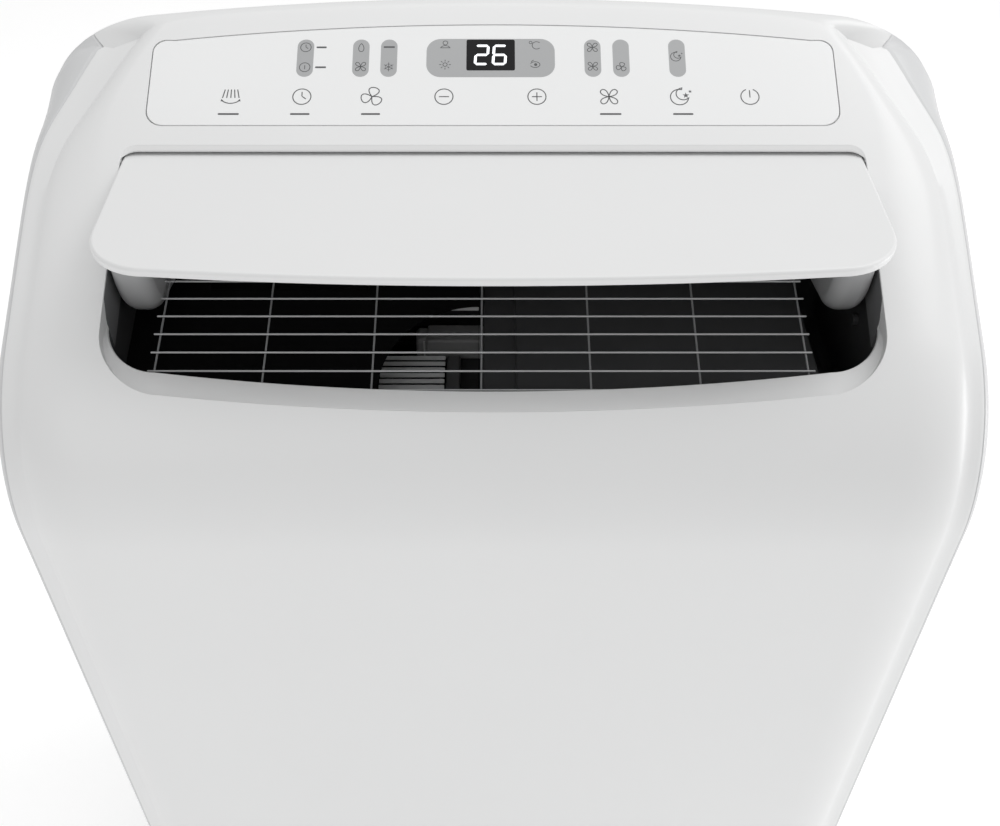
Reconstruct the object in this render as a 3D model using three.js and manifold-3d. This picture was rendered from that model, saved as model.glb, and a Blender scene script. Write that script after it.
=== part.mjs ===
// Portable air conditioner: a roll-about unit with a sloping control panel, a motorised outlet flap at
// the top front, two centrifugal blowers, a rotary compressor and two coils over a condensate base tray.
// Millimetres. +X is the user's right, +Y is the back, +Z is up. The origin is on the floor, under the
// middle of the unit's bounding box. The flap is drawn open, as it stands when the unit is running.
import * as THREE from "three";
import { mergeVertices } from "three/addons/utils/BufferGeometryUtils.js";
import Module from "manifold-3d";

const wasm = await Module();
wasm.setup();

// ---------------------------------------------------------------- driving dimensions
const HALF_WIDTH = 240; // side panels, at their widest
const BACK_Y = 188; // the upright back of the casing
const WALL = 3; // moulded casing wall
const SEAM = 0.8; // parting gap between two casings
const CLEAR = 0.4; // gap between two pieces that sit against each other
const SKIRT_Z = 62; // bottom edge of the casings

const SLOPE = THREE.MathUtils.degToRad(30.1); // the top face that carries panel and outlet
const SLOPE_FOOT = { y: -174, z: 650 }; // a point on the sloping face, where t = 0
const UNDERCUT = THREE.MathUtils.degToRad(4); // the front leans back towards its foot
const FRONT_POINT = { y: -188.5, z: 469 }; // a point on the front face
const BEND_RADIUS = 100; // between the front and the sloping face
const RIDGE_T = 225; // where the sloping face would meet the rear dome
const RIDGE_RADIUS = 12;
const DOME = THREE.MathUtils.degToRad(22); // the dome's first fall behind the ridge
const DOME_FOOT_Z = 590; // the back is upright below this
const RIDGE_ARCH = 11.3; // the ridge falls this far at ARCH_X from the middle
const ARCH_X = 185;

const RIM_HALF_WIDTH = 231; // outer edge of the front cover
const RIM_INSET = 10; // how far the rim lies behind the face
const RIM_FLANGE = 6.5; // width of the flat band along the rim
const FACE_ROUND = 38; // the face starts to roll away this far from the rim

const RECESS = { half: 185.5, top: 133, bottom: -3.4, topCorner: 7, bottomCorner: 31, arch: 7.4 };
const OPENING = { half: 184.6, top: 132, bottom: 8.2, topCorner: 6, bottomCorner: 27, arch: 9.3 };
const STEP_DEPTH = 6.3; // the recess drops straight this far under the slope, then a shelf runs inward
const LEDGE_DEPTH = 10.5; // the inner edge of that shelf lies this far under the slope

const PANEL = { half: 175, bottom: 147.5, side: 198, crown: 208, corner: 9, thick: 1.2 };
const PRINT_X = -1.2; // the keys and the display are printed this far off centre
const KEY_X = [-132, -96, -60, -24, 24, 60, 96, 132];
const KEY_NAMES = ["swing", "timer", "mode", "minus", "plus", "speed", "sleep", "power"];
const KEY_T = 164;
const DISPLAY = { t: 189.5, width: 25, height: 19, depth: 8 };

const FLAP_PIVOT = { t: 113.8, n: -62.6 }; // in slope coordinates: up the slope, and out of it
const FLAP_OPEN = THREE.MathUtils.degToRad(27.6); // turn from closed to the drawn position
const FLAP = { half: 184.6, top: 130.6, bottom: -2.4, topCorner: 5, bottomCorner: 30, arch: 7 };
const FLAP_SINK = 1.2; // closed, the flap's top lies this far under the slope
const FLAP_THICK = 4.6;
const FLAP_SWEEP = 63.9; // nothing fixed comes nearer the pivot than this over the flap's width
const ARM = { inner: 165.4, outer: 183, boss: 9, trunnion: 3.9 };

const GUARD_TILT = THREE.MathUtils.degToRad(18.7);
const GUARD_FOOT = { x: -5.6, y: -126.4, z: 652.1 };
const GUARD = { pitch: 10.8, first: -3, last: 7, column: 52.5, columns: 3, wire: 1.6 };

const DUCT = { half: 190, front: -168, back: -19, floor: 588, wall: 2.5, raised: [-5, 162] };

const BLOWER = { y: 10, z: 520, wheel: 60, hub: 14, x0: -138, x1: -32, blades: 12 };
const BLOWER_SCROLL = { small: 70, large: 105, throatY: -30, mouthZ: 586, wall: 2.5 };
const CONDENSER_FAN = { x: -80, z: 235, wheel: 80, hub: 18, y0: -120, y1: -40, blades: 12 };
const CONDENSER_SCROLL = { small: 88, large: 150, throatZ: 300, endX: 50, wall: 2.5 };
const COLLAR = { x: 132, z: 330, inner: 61.5, outer: 64, flange: 67.5, endY: 195.6 };

const MID_TRAY = { half: 210, y0: -150, y1: 178, z0: 400, z1: 420, wall: 3 };
const BASE = { half: 230, y0: -157, y1: 186, z0: 56, z1: 61.5, wallTop: 100 };
const UPPER_FILTER = { x0: -188, x1: 188, z0: 440, z1: 582, columns: 2, slots: 8 };
const LOWER_FILTER = { x0: -205, x1: 50, z0: 100, z1: 388, columns: 2, slots: 13 };
const EVAPORATOR = { x0: -200, x1: 200, y0: 125, y1: 157, z0: 430, z1: 640, bends: 6 };
const CONDENSER = { x0: -210, x1: 50, y0: 122, y1: 158, z0: 106, z1: 385, bends: 7 };
const COMPRESSOR = { x: 135, y: 85, radius: 50, z0: 70, z1: 245 };
const DRAINS = [
  { name: "upper", x: -150, z: 411, from: MID_TRAY.y1 },
  { name: "lower", x: 0, z: 78, from: 178 },
];
const DRAIN = { bore: 5.5, spout: 7, hole: 10 };
const GLAND = { x: 165, z: 110, bore: 4.2 };

const CASTER = { x: 185, y: [-108, 138], wheel: 20, width: 16, trail: 14, stem: 4, axle: 2.5 };

// ---------------------------------------------------------------- materials
const plastic = (color, roughness) => new THREE.MeshStandardMaterial({ color, roughness, metalness: 0 });
const metal = (color, roughness) => new THREE.MeshStandardMaterial({ color, roughness, metalness: 1 });
const WHITE = plastic(0xeceded, 0.35);
const LIGHT_GREY = plastic(0xc9cbcc, 0.45);
const DARK_GREY = plastic(0x2b2c2e, 0.6);
const BLACK = plastic(0x101012, 0.65);
const NYLON = plastic(0x8e9296, 0.6);
const GREEN_BOARD = plastic(0x1c5a35, 0.5);
const RUBBER = plastic(0x1b1b1c, 0.9);
const STEEL = metal(0xb8babd, 0.35);
const CHROME = metal(0xd8dadc, 0.15);
const ALUMINIUM = metal(0xc7cacd, 0.4);
const COPPER = metal(0xb87048, 0.3);
const BLACK_STEEL = plastic(0x1d1e20, 0.5);

// ---------------------------------------------------------------- solids
// A closed three.js geometry as a solid that can be cut and joined.
function solid(geometry) {
  const bare = geometry.clone();
  bare.deleteAttribute("normal");
  bare.deleteAttribute("uv");
  const merged = mergeVertices(bare, 1e-4);
  const vertProperties = merged.attributes.position.array;
  const triVerts = new Uint32Array(merged.index.array);
  return new wasm.Manifold(new wasm.Mesh({ numProp: 3, vertProperties, triVerts }));
}

function geometryOf(made) {
  const mesh = made.getMesh();
  const stride = mesh.numProp;
  const position = new Float32Array(mesh.numVert * 3);
  for (let i = 0; i < mesh.numVert; i++) {
    position.set(mesh.vertProperties.subarray(i * stride, i * stride + 3), i * 3);
  }
  const geometry = new THREE.BufferGeometry();
  geometry.setAttribute("position", new THREE.BufferAttribute(position, 3));
  geometry.setIndex(new THREE.BufferAttribute(new Uint32Array(mesh.triVerts), 1));
  geometry.computeVertexNormals();
  return geometry;
}

const join = (...parts) => parts.reduce((a, b) => a.add(b));
const cut = (from, ...tools) => tools.reduce((a, b) => a.subtract(b), from);

function block(x0, x1, y0, y1, z0, z1) {
  const box = new THREE.BoxGeometry(x1 - x0, y1 - y0, z1 - z0);
  return solid(box.translate((x0 + x1) / 2, (y0 + y1) / 2, (z0 + z1) / 2));
}

// A turned cylinder or cone on an axis "x", "y" or "z", its middle at (x, y, z).
function rod(axis, radius, length, x, y, z, sides = 24, endRadius = radius) {
  const geometry = new THREE.CylinderGeometry(endRadius, radius, length, sides);
  if (axis === "x") geometry.rotateZ(-Math.PI / 2);
  if (axis === "z") geometry.rotateX(Math.PI / 2);
  return solid(geometry.translate(x, y, z));
}

const pipe = (axis, outer, inner, length, x, y, z, sides = 24) =>
  cut(rod(axis, outer, length, x, y, z, sides), rod(axis, inner, length + 2, x, y, z, sides));

// A side-view outline [[y, z], ...] stretched from x0 to x1.
function sideSlab(outline, x0, x1) {
  const shape = new THREE.Shape(outline.map(([y, z]) => new THREE.Vector2(y, z)));
  const geometry = new THREE.ExtrudeGeometry(shape, { depth: x1 - x0, bevelEnabled: false });
  const turn = new THREE.Matrix4().makeBasis(
    new THREE.Vector3(0, 1, 0), new THREE.Vector3(0, 0, 1), new THREE.Vector3(1, 0, 0));
  return solid(geometry.applyMatrix4(turn).translate(x0, 0, 0));
}

// A flat outline [[x, y], ...] stretched from z0 to z1.
function plate(outline, z0, z1) {
  const shape = new THREE.Shape(outline.map(([x, y]) => new THREE.Vector2(x, y)));
  return solid(new THREE.ExtrudeGeometry(shape, { depth: z1 - z0, bevelEnabled: false }).translate(0, 0, z0));
}

// A tube of one radius along a smooth curve through the points.
function bentTube(points, radius, steps, sides = 8) {
  const circle = new THREE.Shape().absarc(0, 0, radius, 0, 2 * Math.PI);
  const stops = points.map((p) => new THREE.Vector3(...p));
  const extrudePath = new THREE.CatmullRomCurve3(stops, false, "centripetal");
  return solid(new THREE.ExtrudeGeometry(circle, { steps, curveSegments: sides / 2, extrudePath }));
}

// A closed skin through rings of points that all have the same count; a fan from its middle caps each end.
function rings(list) {
  const count = list[0].length;
  const middle = (ring) => [0, 1, 2].map((k) => ring.reduce((sum, p) => sum + p[k], 0) / count);
  const position = [...list.flat(), middle(list[0]), middle(list[list.length - 1])].flat();
  const last = (list.length - 1) * count;
  const firstHub = list.length * count;
  const index = [];
  for (let i = 0; i < count; i++) {
    const j = (i + 1) % count;
    for (let r = 0; r < last; r += count) {
      index.push(r + i, r + j, r + j + count, r + i, r + j + count, r + i + count);
    }
    index.push(firstHub, j, i, firstHub + 1, last + i, last + j);
  }
  const geometry = new THREE.BufferGeometry();
  geometry.setAttribute("position", new THREE.BufferAttribute(new Float32Array(position), 3));
  geometry.setIndex(index);
  const made = solid(geometry);
  if (made.volume() > 0) return made;
  geometry.setIndex(index.map((_, k) => index[k - (k % 3) + [0, 2, 1][k % 3]]));
  return solid(geometry);
}

// ---------------------------------------------------------------- the casing's surface
const lerp = (a, b, s) => a + (b - a) * s;
const ease = (a, b, v) => THREE.MathUtils.smoothstep(v, a, b);
const slopePoint = (t, n = 0) => ({
  y: SLOPE_FOOT.y + t * Math.cos(SLOPE) - n * Math.sin(SLOPE),
  z: SLOPE_FOOT.z + t * Math.sin(SLOPE) + n * Math.cos(SLOPE),
});

// Centre of the bend that is tangent to the sloping face and to the front face.
function bendCentre() {
  const slopeIn = { y: Math.sin(SLOPE), z: -Math.cos(SLOPE) };
  const frontIn = { y: Math.cos(UNDERCUT), z: Math.sin(UNDERCUT) };
  const a = slopeIn.y * SLOPE_FOOT.y + slopeIn.z * SLOPE_FOOT.z + BEND_RADIUS;
  const b = frontIn.y * FRONT_POINT.y + frontIn.z * FRONT_POINT.z + BEND_RADIUS;
  const det = slopeIn.y * frontIn.z - slopeIn.z * frontIn.y;
  return { y: (a * frontIn.z - b * slopeIn.z) / det, z: (slopeIn.y * b - frontIn.y * a) / det };
}

// Side-view profile of the casing at a depth under its outer surface, from the bottom front over the
// ridge to the bottom back, as rows of { y, z, t, side }: t is the distance up the slope and side is
// how far the row belongs to the rear (0 on the front and the slope, 1 on the dome and the back).
function profile(depth) {
  const rows = [];
  const centre = bendCentre();
  const bendFoot = centre.z - BEND_RADIUS * Math.sin(UNDERCUT);
  const frontY = (z) => FRONT_POINT.y - (z - FRONT_POINT.z) * Math.tan(UNDERCUT) + depth / Math.cos(UNDERCUT);
  for (const z of [SKIRT_Z, lerp(SKIRT_Z, bendFoot, 0.5)]) {
    rows.push({ y: frontY(z), z, t: z - SLOPE_FOOT.z, side: 0 });
  }
  const slopeAngle = Math.PI / 2 + SLOPE;
  const bendSteps = 5;
  for (let i = 0; i <= bendSteps; i++) {
    const angle = lerp(Math.PI + UNDERCUT, slopeAngle, i / bendSteps);
    const y = centre.y + (BEND_RADIUS - depth) * Math.cos(angle);
    const z = centre.z + (BEND_RADIUS - depth) * Math.sin(angle);
    const t = (y - SLOPE_FOOT.y) * Math.cos(SLOPE) + (z - SLOPE_FOOT.z) * Math.sin(SLOPE);
    rows.push({ y, z, t, side: 0 });
  }
  const half = Math.tan((SLOPE + DOME) / 2);
  const slopeEnd = RIDGE_T - (RIDGE_RADIUS + depth) * half;
  for (const s of [0, 0.4, 0.75, 1]) {
    const t = lerp(135, slopeEnd, s);
    rows.push({ ...slopePoint(t, -depth), t, side: 0 });
  }
  rows.splice(-4, 0, { ...slopePoint(100, -depth), t: 100, side: 0 });
  const ridge = slopePoint(slopeEnd, -depth - RIDGE_RADIUS);
  const ridgeSteps = 3;
  for (let i = 1; i <= ridgeSteps; i++) {
    const angle = lerp(slopeAngle, Math.PI / 2 - DOME, i / ridgeSteps);
    const y = ridge.y + RIDGE_RADIUS * Math.cos(angle);
    const z = ridge.z + RIDGE_RADIUS * Math.sin(angle);
    rows.push({ y, z, t: slopeEnd, side: i / ridgeSteps });
  }
  const start = rows[rows.length - 1];
  const reach = 100;
  const dome = new THREE.CubicBezierCurve(
    new THREE.Vector2(start.y, start.z),
    new THREE.Vector2(start.y + reach * Math.cos(DOME), start.z - reach * Math.sin(DOME)),
    new THREE.Vector2(BACK_Y - depth, DOME_FOOT_Z + 105), new THREE.Vector2(BACK_Y - depth, DOME_FOOT_Z));
  const domeSteps = 5;
  for (let i = 1; i <= domeSteps; i++) {
    const p = dome.getPoint(i / domeSteps);
    rows.push({ y: p.x, z: p.y, t: slopeEnd, side: 1 });
  }
  for (const z of [320, SKIRT_Z]) rows.push({ y: BACK_Y - depth, z, t: slopeEnd, side: 1 });
  return rows;
}

// Half width of the front cover's rim at a distance t up the slope (below the slope t is negative).
function rimHalfWidth(t) {
  const shoulder = Math.max(0, (t - 100) / 103);
  const foot = Math.max(0, -t) * 0.012;
  return RIM_HALF_WIDTH - 25 * shoulder ** 1.8 - foot;
}

// [x, inset] of the casing's outer surface across one front row, from the middle to the side wall.
function frontStations(t) {
  const rim = rimHalfWidth(t);
  const round = lerp(FACE_ROUND, 22, ease(100, 200, t));
  const high = ease(110, 210, t);
  const roll = (c) => 13 * (1 - Math.sqrt(1 - ((round - c) / (round - 4)) ** 2));
  const sideInset = lerp(30, 42, high);
  const list = [[0, 0], [rim - round, 0]];
  for (const s of [0.6, 0.27]) {
    const c = lerp(RIM_FLANGE, round, s);
    list.push([rim - c, roll(c)]);
  }
  list.push([rim - RIM_FLANGE, 8.2], [rim, RIM_INSET]);
  for (const s of [0.35, 0.7, 1]) {
    const x = lerp(rim, HALF_WIDTH - foreEase(t), Math.sin((s * Math.PI) / 2));
    list.push([x, lerp(RIM_INSET, sideInset, 1 - Math.cos((s * Math.PI) / 2))]);
  }
  return list;
}

// The side panels draw in a little towards the floor.
const foreEase = (t) => Math.max(0, -t) * 0.012;

// [x, inset] across one rear row: a flat middle and an elliptical corner to the side wall.
function rearStations(z) {
  const high = ease(560, 700, z);
  const across = lerp(45, 60, high);
  const deep = lerp(45, 42, high);
  const drop = Math.max(0, SLOPE_FOOT.z - z) * 0.012;
  const list = [[0, 0], [(HALF_WIDTH - across) / 2, 0]];
  for (let i = 0; i <= 6; i++) {
    const angle = (i / 6) * (Math.PI / 2);
    const away = across * Math.sin(angle) - drop * (i / 6);
    list.push([HALF_WIDTH - across + away, deep * (1 - Math.cos(angle))]);
  }
  return list;
}

// The whole casing as a solid whose faces lie `thick` inside the outer surface.
function casing(thick, footZ) {
  const squeeze = (HALF_WIDTH - thick) / HALF_WIDTH;
  const grid = profile(0).map((row, r, all) => {
    const front = frontStations(row.t);
    const rear = rearStations(row.z);
    return front.map(([, frontInset], k) => {
      const depth = lerp(frontInset, rear[k][1], row.side);
      const at = profile(depth + thick)[r];
      const x = lerp(frontStations(at.t)[k][0], rear[k][0], row.side) * squeeze;
      const arch = row.side > 0 ? 1 - ease(30, BACK_Y, at.y) : ease(130, 200, at.t);
      const fall = RIDGE_ARCH * (x / ARCH_X) ** 2 * arch;
      const foot = r === 0 || r === all.length - 1;
      return [x, at.y - fall * Math.cos(SLOPE), foot ? footZ : at.z - fall * Math.sin(SLOPE)];
    });
  });
  const across = grid[0].length;
  const slices = [];
  for (let k = across - 1; k > 0; k--) slices.push(grid.map((row) => [-row[k][0], row[k][1], row[k][2]]));
  for (let k = 0; k < across; k++) slices.push(grid.map((row) => row[k]));
  return rings(slices);
}

// The side-view band that the front cover takes: everything ahead of the profile at `depth`.
function frontZone(depth, partY) {
  const line = profile(depth).filter((row) => row.side < 1 && row.y < partY).map((row) => [row.y, row.z]);
  line[0][1] = 0;
  const topZ = line[line.length - 1][1];
  return sideSlab([...line, [partY, topZ], [partY, topZ + 200], [-400, topZ + 200], [-400, 0]], -300, 300);
}

// ---------------------------------------------------------------- outlines on the sloping face
// Rounded outline of the recess or the opening, seen square on, as [x, t] points.
function outletOutline(o, grow = 0) {
  const half = o.half + grow;
  const top = o.top + grow;
  const points = [];
  const corner = (cx, ct, r, from, steps) => {
    for (let i = 0; i <= steps; i++) {
      const a = from + ((i / steps) * Math.PI) / 2;
      points.push([cx + r * Math.cos(a), ct + r * Math.sin(a)]);
    }
  };
  const low = (x) => o.bottom - grow + o.arch * (x / (o.half - o.bottomCorner)) ** 2;
  const footX = o.half - o.bottomCorner;
  const r = o.bottomCorner + grow;
  corner(footX, low(footX) + r, r, -Math.PI / 2, 4);
  corner(half - o.topCorner, top - o.topCorner, o.topCorner, 0, 2);
  corner(-half + o.topCorner, top - o.topCorner, o.topCorner, Math.PI / 2, 2);
  corner(-footX, low(footX) + r, r, Math.PI, 4);
  for (const s of [-0.6, -0.2, 0.2, 0.6]) points.push([s * footX, low(s * footX)]);
  return points;
}

// Outline of the control panel, whose top edge is arched like the ridge.
function panelOutline(grow = 0) {
  const half = PANEL.half + grow;
  const r = PANEL.corner;
  const points = [];
  for (const [sx, from] of [[1, -Math.PI / 2], [-1, Math.PI]]) {
    const turn = [];
    for (let i = 0; i <= 3; i++) {
      const a = from + ((i / 3) * Math.PI) / 2;
      turn.push([sx * (half - r) + r * Math.cos(a), PANEL.bottom - grow + r + r * Math.sin(a)]);
    }
    if (sx > 0) {
      points.push(...turn);
      for (const s of [1, 0.97, 0.85, 0.5, 0, -0.5, -0.85, -0.97, -1]) {
        const round = Math.abs(s) === 1 ? r * 0.6 : 0;
        points.push([s * half, PANEL.crown + grow - (PANEL.crown - PANEL.side) * s * s - round]);
      }
    } else {
      points.push(...turn);
    }
  }
  return points;
}

// How far the outer face lies under the slope's plane where the bend has begun.
function faceDrop(t) {
  const centre = bendCentre();
  const bendT = (centre.y - SLOPE_FOOT.y) * Math.cos(SLOPE) + (centre.z - SLOPE_FOOT.z) * Math.sin(SLOPE);
  const ahead = Math.max(0, bendT - t);
  return BEND_RADIUS - Math.sqrt(BEND_RADIUS ** 2 - ahead ** 2);
}

// A solid given in slope coordinates (x, t, n) moved to the unit's own frame.
function onSlope(made) {
  const pose = new THREE.Matrix4().makeRotationX(SLOPE).setPosition(0, SLOPE_FOOT.y, SLOPE_FOOT.z);
  return made.transform(pose.elements);
}

// A solid drawn closed in slope coordinates, turned to the flap's open position and moved into place.
function opened(made) {
  const turn = new THREE.Matrix4().makeTranslation(0, FLAP_PIVOT.t, FLAP_PIVOT.n)
    .multiply(new THREE.Matrix4().makeRotationX(-FLAP_OPEN))
    .multiply(new THREE.Matrix4().makeTranslation(0, -FLAP_PIVOT.t, -FLAP_PIVOT.n));
  return onSlope(made.transform(turn.elements));
}

// ---------------------------------------------------------------- casings
const outer = casing(0, SKIRT_Z);
const inner = casing(WALL, SKIRT_Z - 30);
const shell = cut(outer, inner);
const FRONT_PART = RIM_INSET + WALL;
const PART_Y = 27; // the front cover ends just behind the ridge
const REAR_PART_Y = 112;
const TOP_PART_X = 196;
const HANDLE = { y0: -20, y1: 80, z0: 596, z1: 640, depth: 30, wall: 2.5 };

const recessTool = (() => {
  const wide = outletOutline(RECESS);
  const narrow = outletOutline(OPENING);
  const ring = (outline, n) => outline.map(([x, t]) => [x, t, typeof n === "number" ? n : n(t)]);
  return onSlope(rings([
    ring(wide, 20), ring(wide, (t) => -Math.max(STEP_DEPTH, faceDrop(t) + 0.8)),
    ring(narrow, -LEDGE_DEPTH), ring(narrow, -30),
  ]));
})();

function frontCover() {
  const skin = shell.intersect(frontZone(FRONT_PART, PART_Y));
  const well = onSlope(plate(outletOutline(RECESS, 2.5), -LEDGE_DEPTH - 2, 15)).intersect(outer);
  const pocket = onSlope(plate(panelOutline(0.5), -PANEL.thick - CLEAR, 15));
  const window = onSlope(block(PRINT_X - 16, PRINT_X + 16, 178, 201, -20, 5));
  const keyHoles = KEY_X.map((x) => onSlope(rod("z", 5, 20, x + PRINT_X, KEY_T, 0, 12)));
  const sweep = onSlope(rod("x", FLAP_SWEEP, 2 * OPENING.half, 0, FLAP_PIVOT.t, FLAP_PIVOT.n, 64));
  return cut(join(skin, well), recessTool, pocket, window, ...keyHoles, sweep);
}

const housing = cut(shell, frontZone(FRONT_PART + SEAM, PART_Y + SEAM));

function sideZone(sign, grow) {
  const span = (x, z0, z1) => block(
    Math.min(sign * x, sign * 300), Math.max(sign * x, sign * 300), -300, REAR_PART_Y + grow, z0, z1);
  return join(span(150, 0, 640), span(TOP_PART_X - grow, 630, 900));
}

function sidePanel(sign) {
  const h = HANDLE;
  const across = (depth, y0, y1, z0, z1) => block(
    Math.min(sign * (HALF_WIDTH - depth), sign * 260), Math.max(sign * (HALF_WIDTH - depth), sign * 260),
    y0, y1, z0, z1);
  const w = h.wall;
  const cup = across(h.depth + w, h.y0 - w, h.y1 + w, h.z0 - w, h.z1 + w).intersect(outer);
  return cut(join(housing.intersect(sideZone(sign, 0)), cup), across(h.depth, h.y0, h.y1, h.z0, h.z1));
}

function rearCover() {
  const back = cut(housing, sideZone(1, SEAM), sideZone(-1, SEAM));
  const hole = (x, z, radius) => rod("y", radius, 40, x, BACK_Y, z, radius > 30 ? 28 : 14);
  const window = (f) => block(f.x0 - 0.5, f.x1 + 0.5, BACK_Y - 20, BACK_Y + 20, f.z0 - 0.5, f.z1 + 0.5);
  return cut(back, window(UPPER_FILTER), window(LOWER_FILTER), hole(COLLAR.x, COLLAR.z, COLLAR.outer + 1),
    hole(GLAND.x, GLAND.z, 9), ...DRAINS.map((d) => hole(d.x, d.z, DRAIN.hole)));
}

// ---------------------------------------------------------------- air path
function outletDuct() {
  const d = DUCT;
  const w = d.wall;
  const box = block(-d.half, d.half, d.front, d.back, d.floor, 760);
  const room = block(-d.half + w, d.half - w, d.front + w, d.back - w, d.floor + w, 780);
  const raised = sideSlab([
    [d.front + 1, d.floor + 1], [d.front + 1, 631], [d.back - 1, 641],
    [d.back - 1, d.floor + 1],
  ], ...d.raised);
  const hollow = sideSlab([
    [d.front + w, d.floor - 1], [d.front + w, 628.5], [d.back - w, 638.5],
    [d.back - w, d.floor - 1],
  ], d.raised[0] + w, d.raised[1] - w);
  const throat = block(BLOWER.x0 - 12, BLOWER.x1 + 12, -95, BLOWER_SCROLL.throatY, d.floor - 5, d.floor + 10);
  const trim = onSlope(block(-300, 300, -200, 400, -LEDGE_DEPTH - 2 - CLEAR, 200));
  const behind = block(-300, 300, -45, 50, 712, 800);
  const bearing = onSlope(rod("x", 4.2, 500, 0, FLAP_PIVOT.t, FLAP_PIVOT.n, 16));
  return cut(join(cut(box, room), raised), hollow, throat, trim, behind, bearing);
}

function outletGrille() {
  const g = GUARD;
  const half = g.wire / 2;
  const end = g.columns * g.column + half;
  const low = g.first * g.pitch - half;
  const high = g.last * g.pitch + half;
  const tab = end + 18;
  const step = low + g.wire;
  const net = plate([
    [-tab, low], [tab, low], [tab, step], [end, step], [end, high], [-end, high], [-end, step], [-tab, step],
  ], -half, half);
  const gaps = [];
  for (let j = -g.columns; j < g.columns; j++) {
    for (let k = g.first; k < g.last; k++) {
      gaps.push(block(j * g.column + half, (j + 1) * g.column - half, k * g.pitch + half,
        (k + 1) * g.pitch - half, -2, 2));
    }
  }
  const pose = new THREE.Matrix4().makeRotationX(GUARD_TILT).setPosition(
    GUARD_FOOT.x, GUARD_FOOT.y, GUARD_FOOT.z);
  return cut(net, ...gaps).transform(pose.elements);
}

const flapPlate = () => opened(plate(outletOutline(FLAP), -FLAP_SINK - FLAP_THICK, -FLAP_SINK));

// An arm hangs from the open flap's underside like a blunt finger and runs back to the pivot.
function flapArm(sign) {
  const pivot = slopePoint(FLAP_PIVOT.t, FLAP_PIVOT.n);
  const low = sign * ARM.inner;
  const high = sign * ARM.outer;
  const bar = sideSlab([
    [-123, 705.8], [-122, 690], [-119.5, 674], [-115.5, 663], [-110, 656], [-103, 651.5], [-94, 650],
    [pivot.y, pivot.z - ARM.boss], [pivot.y + ARM.boss, pivot.z], [pivot.y + ARM.boss, 672], [-44, 709.2],
  ], Math.min(low, high), Math.max(low, high));
  const boss = rod("x", ARM.boss, ARM.outer - ARM.inner, (low + high) / 2, pivot.y, pivot.z, 20);
  const reach = sign > 0 ? 192 : 204;
  const trunnion = rod(
    "x", ARM.trunnion, reach - ARM.outer + 1, sign * (reach + ARM.outer - 1) / 2, pivot.y, pivot.z, 16);
  return join(bar, boss, trunnion);
}

function flapMotor() {
  const at = slopePoint(FLAP_PIVOT.t, FLAP_PIVOT.n);
  const x = -DUCT.half - CLEAR;
  const can = rod("x", 14, 19, x - 9.5, at.y, at.z, 24);
  const ears = block(x - 2, x, at.y - 21, at.y + 21, at.z - 4, at.z + 4);
  return cut(join(can, ears), rod("x", 4.2, 30, x, at.y, at.z, 16));
}

// Outline of a volute round (u, v): it grows from the cut-off, turning clockwise, by `turn` radians.
function volute(u, v, small, large, from, turn, steps, grow) {
  const points = [];
  for (let i = 0; i <= steps; i++) {
    const angle = from - (i / steps) * turn;
    const radius = lerp(small, large, i / steps) + grow;
    points.push([u + radius * Math.cos(angle), v + radius * Math.sin(angle)]);
  }
  return points;
}

function blowerHousing() {
  const s = BLOWER_SCROLL;
  const w = s.wall;
  const run = s.throatY - BLOWER.y;
  const from = Math.PI - Math.acos(-run / s.small);
  const outline = (grow, mouth) => [
    ...volute(BLOWER.y, BLOWER.z, s.small, s.large, from, from + Math.PI, 14, grow),
    [BLOWER.y - s.large - grow, mouth], [s.throatY + grow, mouth],
  ];
  const body = sideSlab(outline(w, s.mouthZ), BLOWER.x0 - 10 - w, BLOWER.x1 + 10 + w);
  const room = sideSlab(outline(0, s.mouthZ + 5), BLOWER.x0 - 10, BLOWER.x1 + 10);
  const inlet = rod("x", 49, 20, BLOWER.x0 - 12, BLOWER.y, BLOWER.z, 28);
  const shaftHole = rod("x", 8, 20, BLOWER.x1 + 12, BLOWER.y, BLOWER.z, 16);
  return cut(body, room, inlet, shaftHole);
}

// A forward-curved blower wheel on the X axis at the origin, from x0 to x1, its shaft
// running on to x1 + shaft.
function blowerWheel(radius, hub, x0, x1, blades, shaft) {
  const depth = radius * 0.17;
  const backPlate = rod("x", radius, 2.5, x1 - 1.25, 0, 0, 16);
  const frontRing = pipe("x", radius, radius - depth, 4, x0 + 2, 0, 0, 16);
  const bar = solid(new THREE.BoxGeometry(x1 - x0 - 2, depth, 1.8).translate((x0 + x1) / 2, 0, 0));
  const set = [];
  for (let i = 0; i < blades; i++) {
    const angle = (i / blades) * 360;
    set.push(bar.rotate(35, 0, 0).translate(0, radius - depth * 0.62, 0).rotate(angle, 0, 0));
  }
  const boss = rod("x", hub, Math.min(26, x1 - x0), x1 - Math.min(26, x1 - x0) / 2, 0, 0, 14);
  return join(backPlate, frontRing, ...set, boss, rod("x", 5, shaft + 6, x1 + shaft / 2 - 3, 0, 0, 10));
}

// A motor can on the X axis at the origin from x0, with a mounting flange towards -X and a shaft bore.
function motorCan(radius, x0, length, flange) {
  const can = rod("x", radius, length, x0 + length / 2, 0, 0, 20);
  const plateEnd = block(x0, x0 + 3, -flange, flange, -flange * 0.55, flange * 0.55);
  const cap = rod("x", radius * 0.45, 6, x0 + length + 2, 0, 0, 12);
  return cut(join(can, plateEnd, cap), rod("x", 5.4, 34, x0, 0, 0, 10));
}

const alongY = (made) => made.rotate(0, 0, 90); // +X becomes +Y

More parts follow.
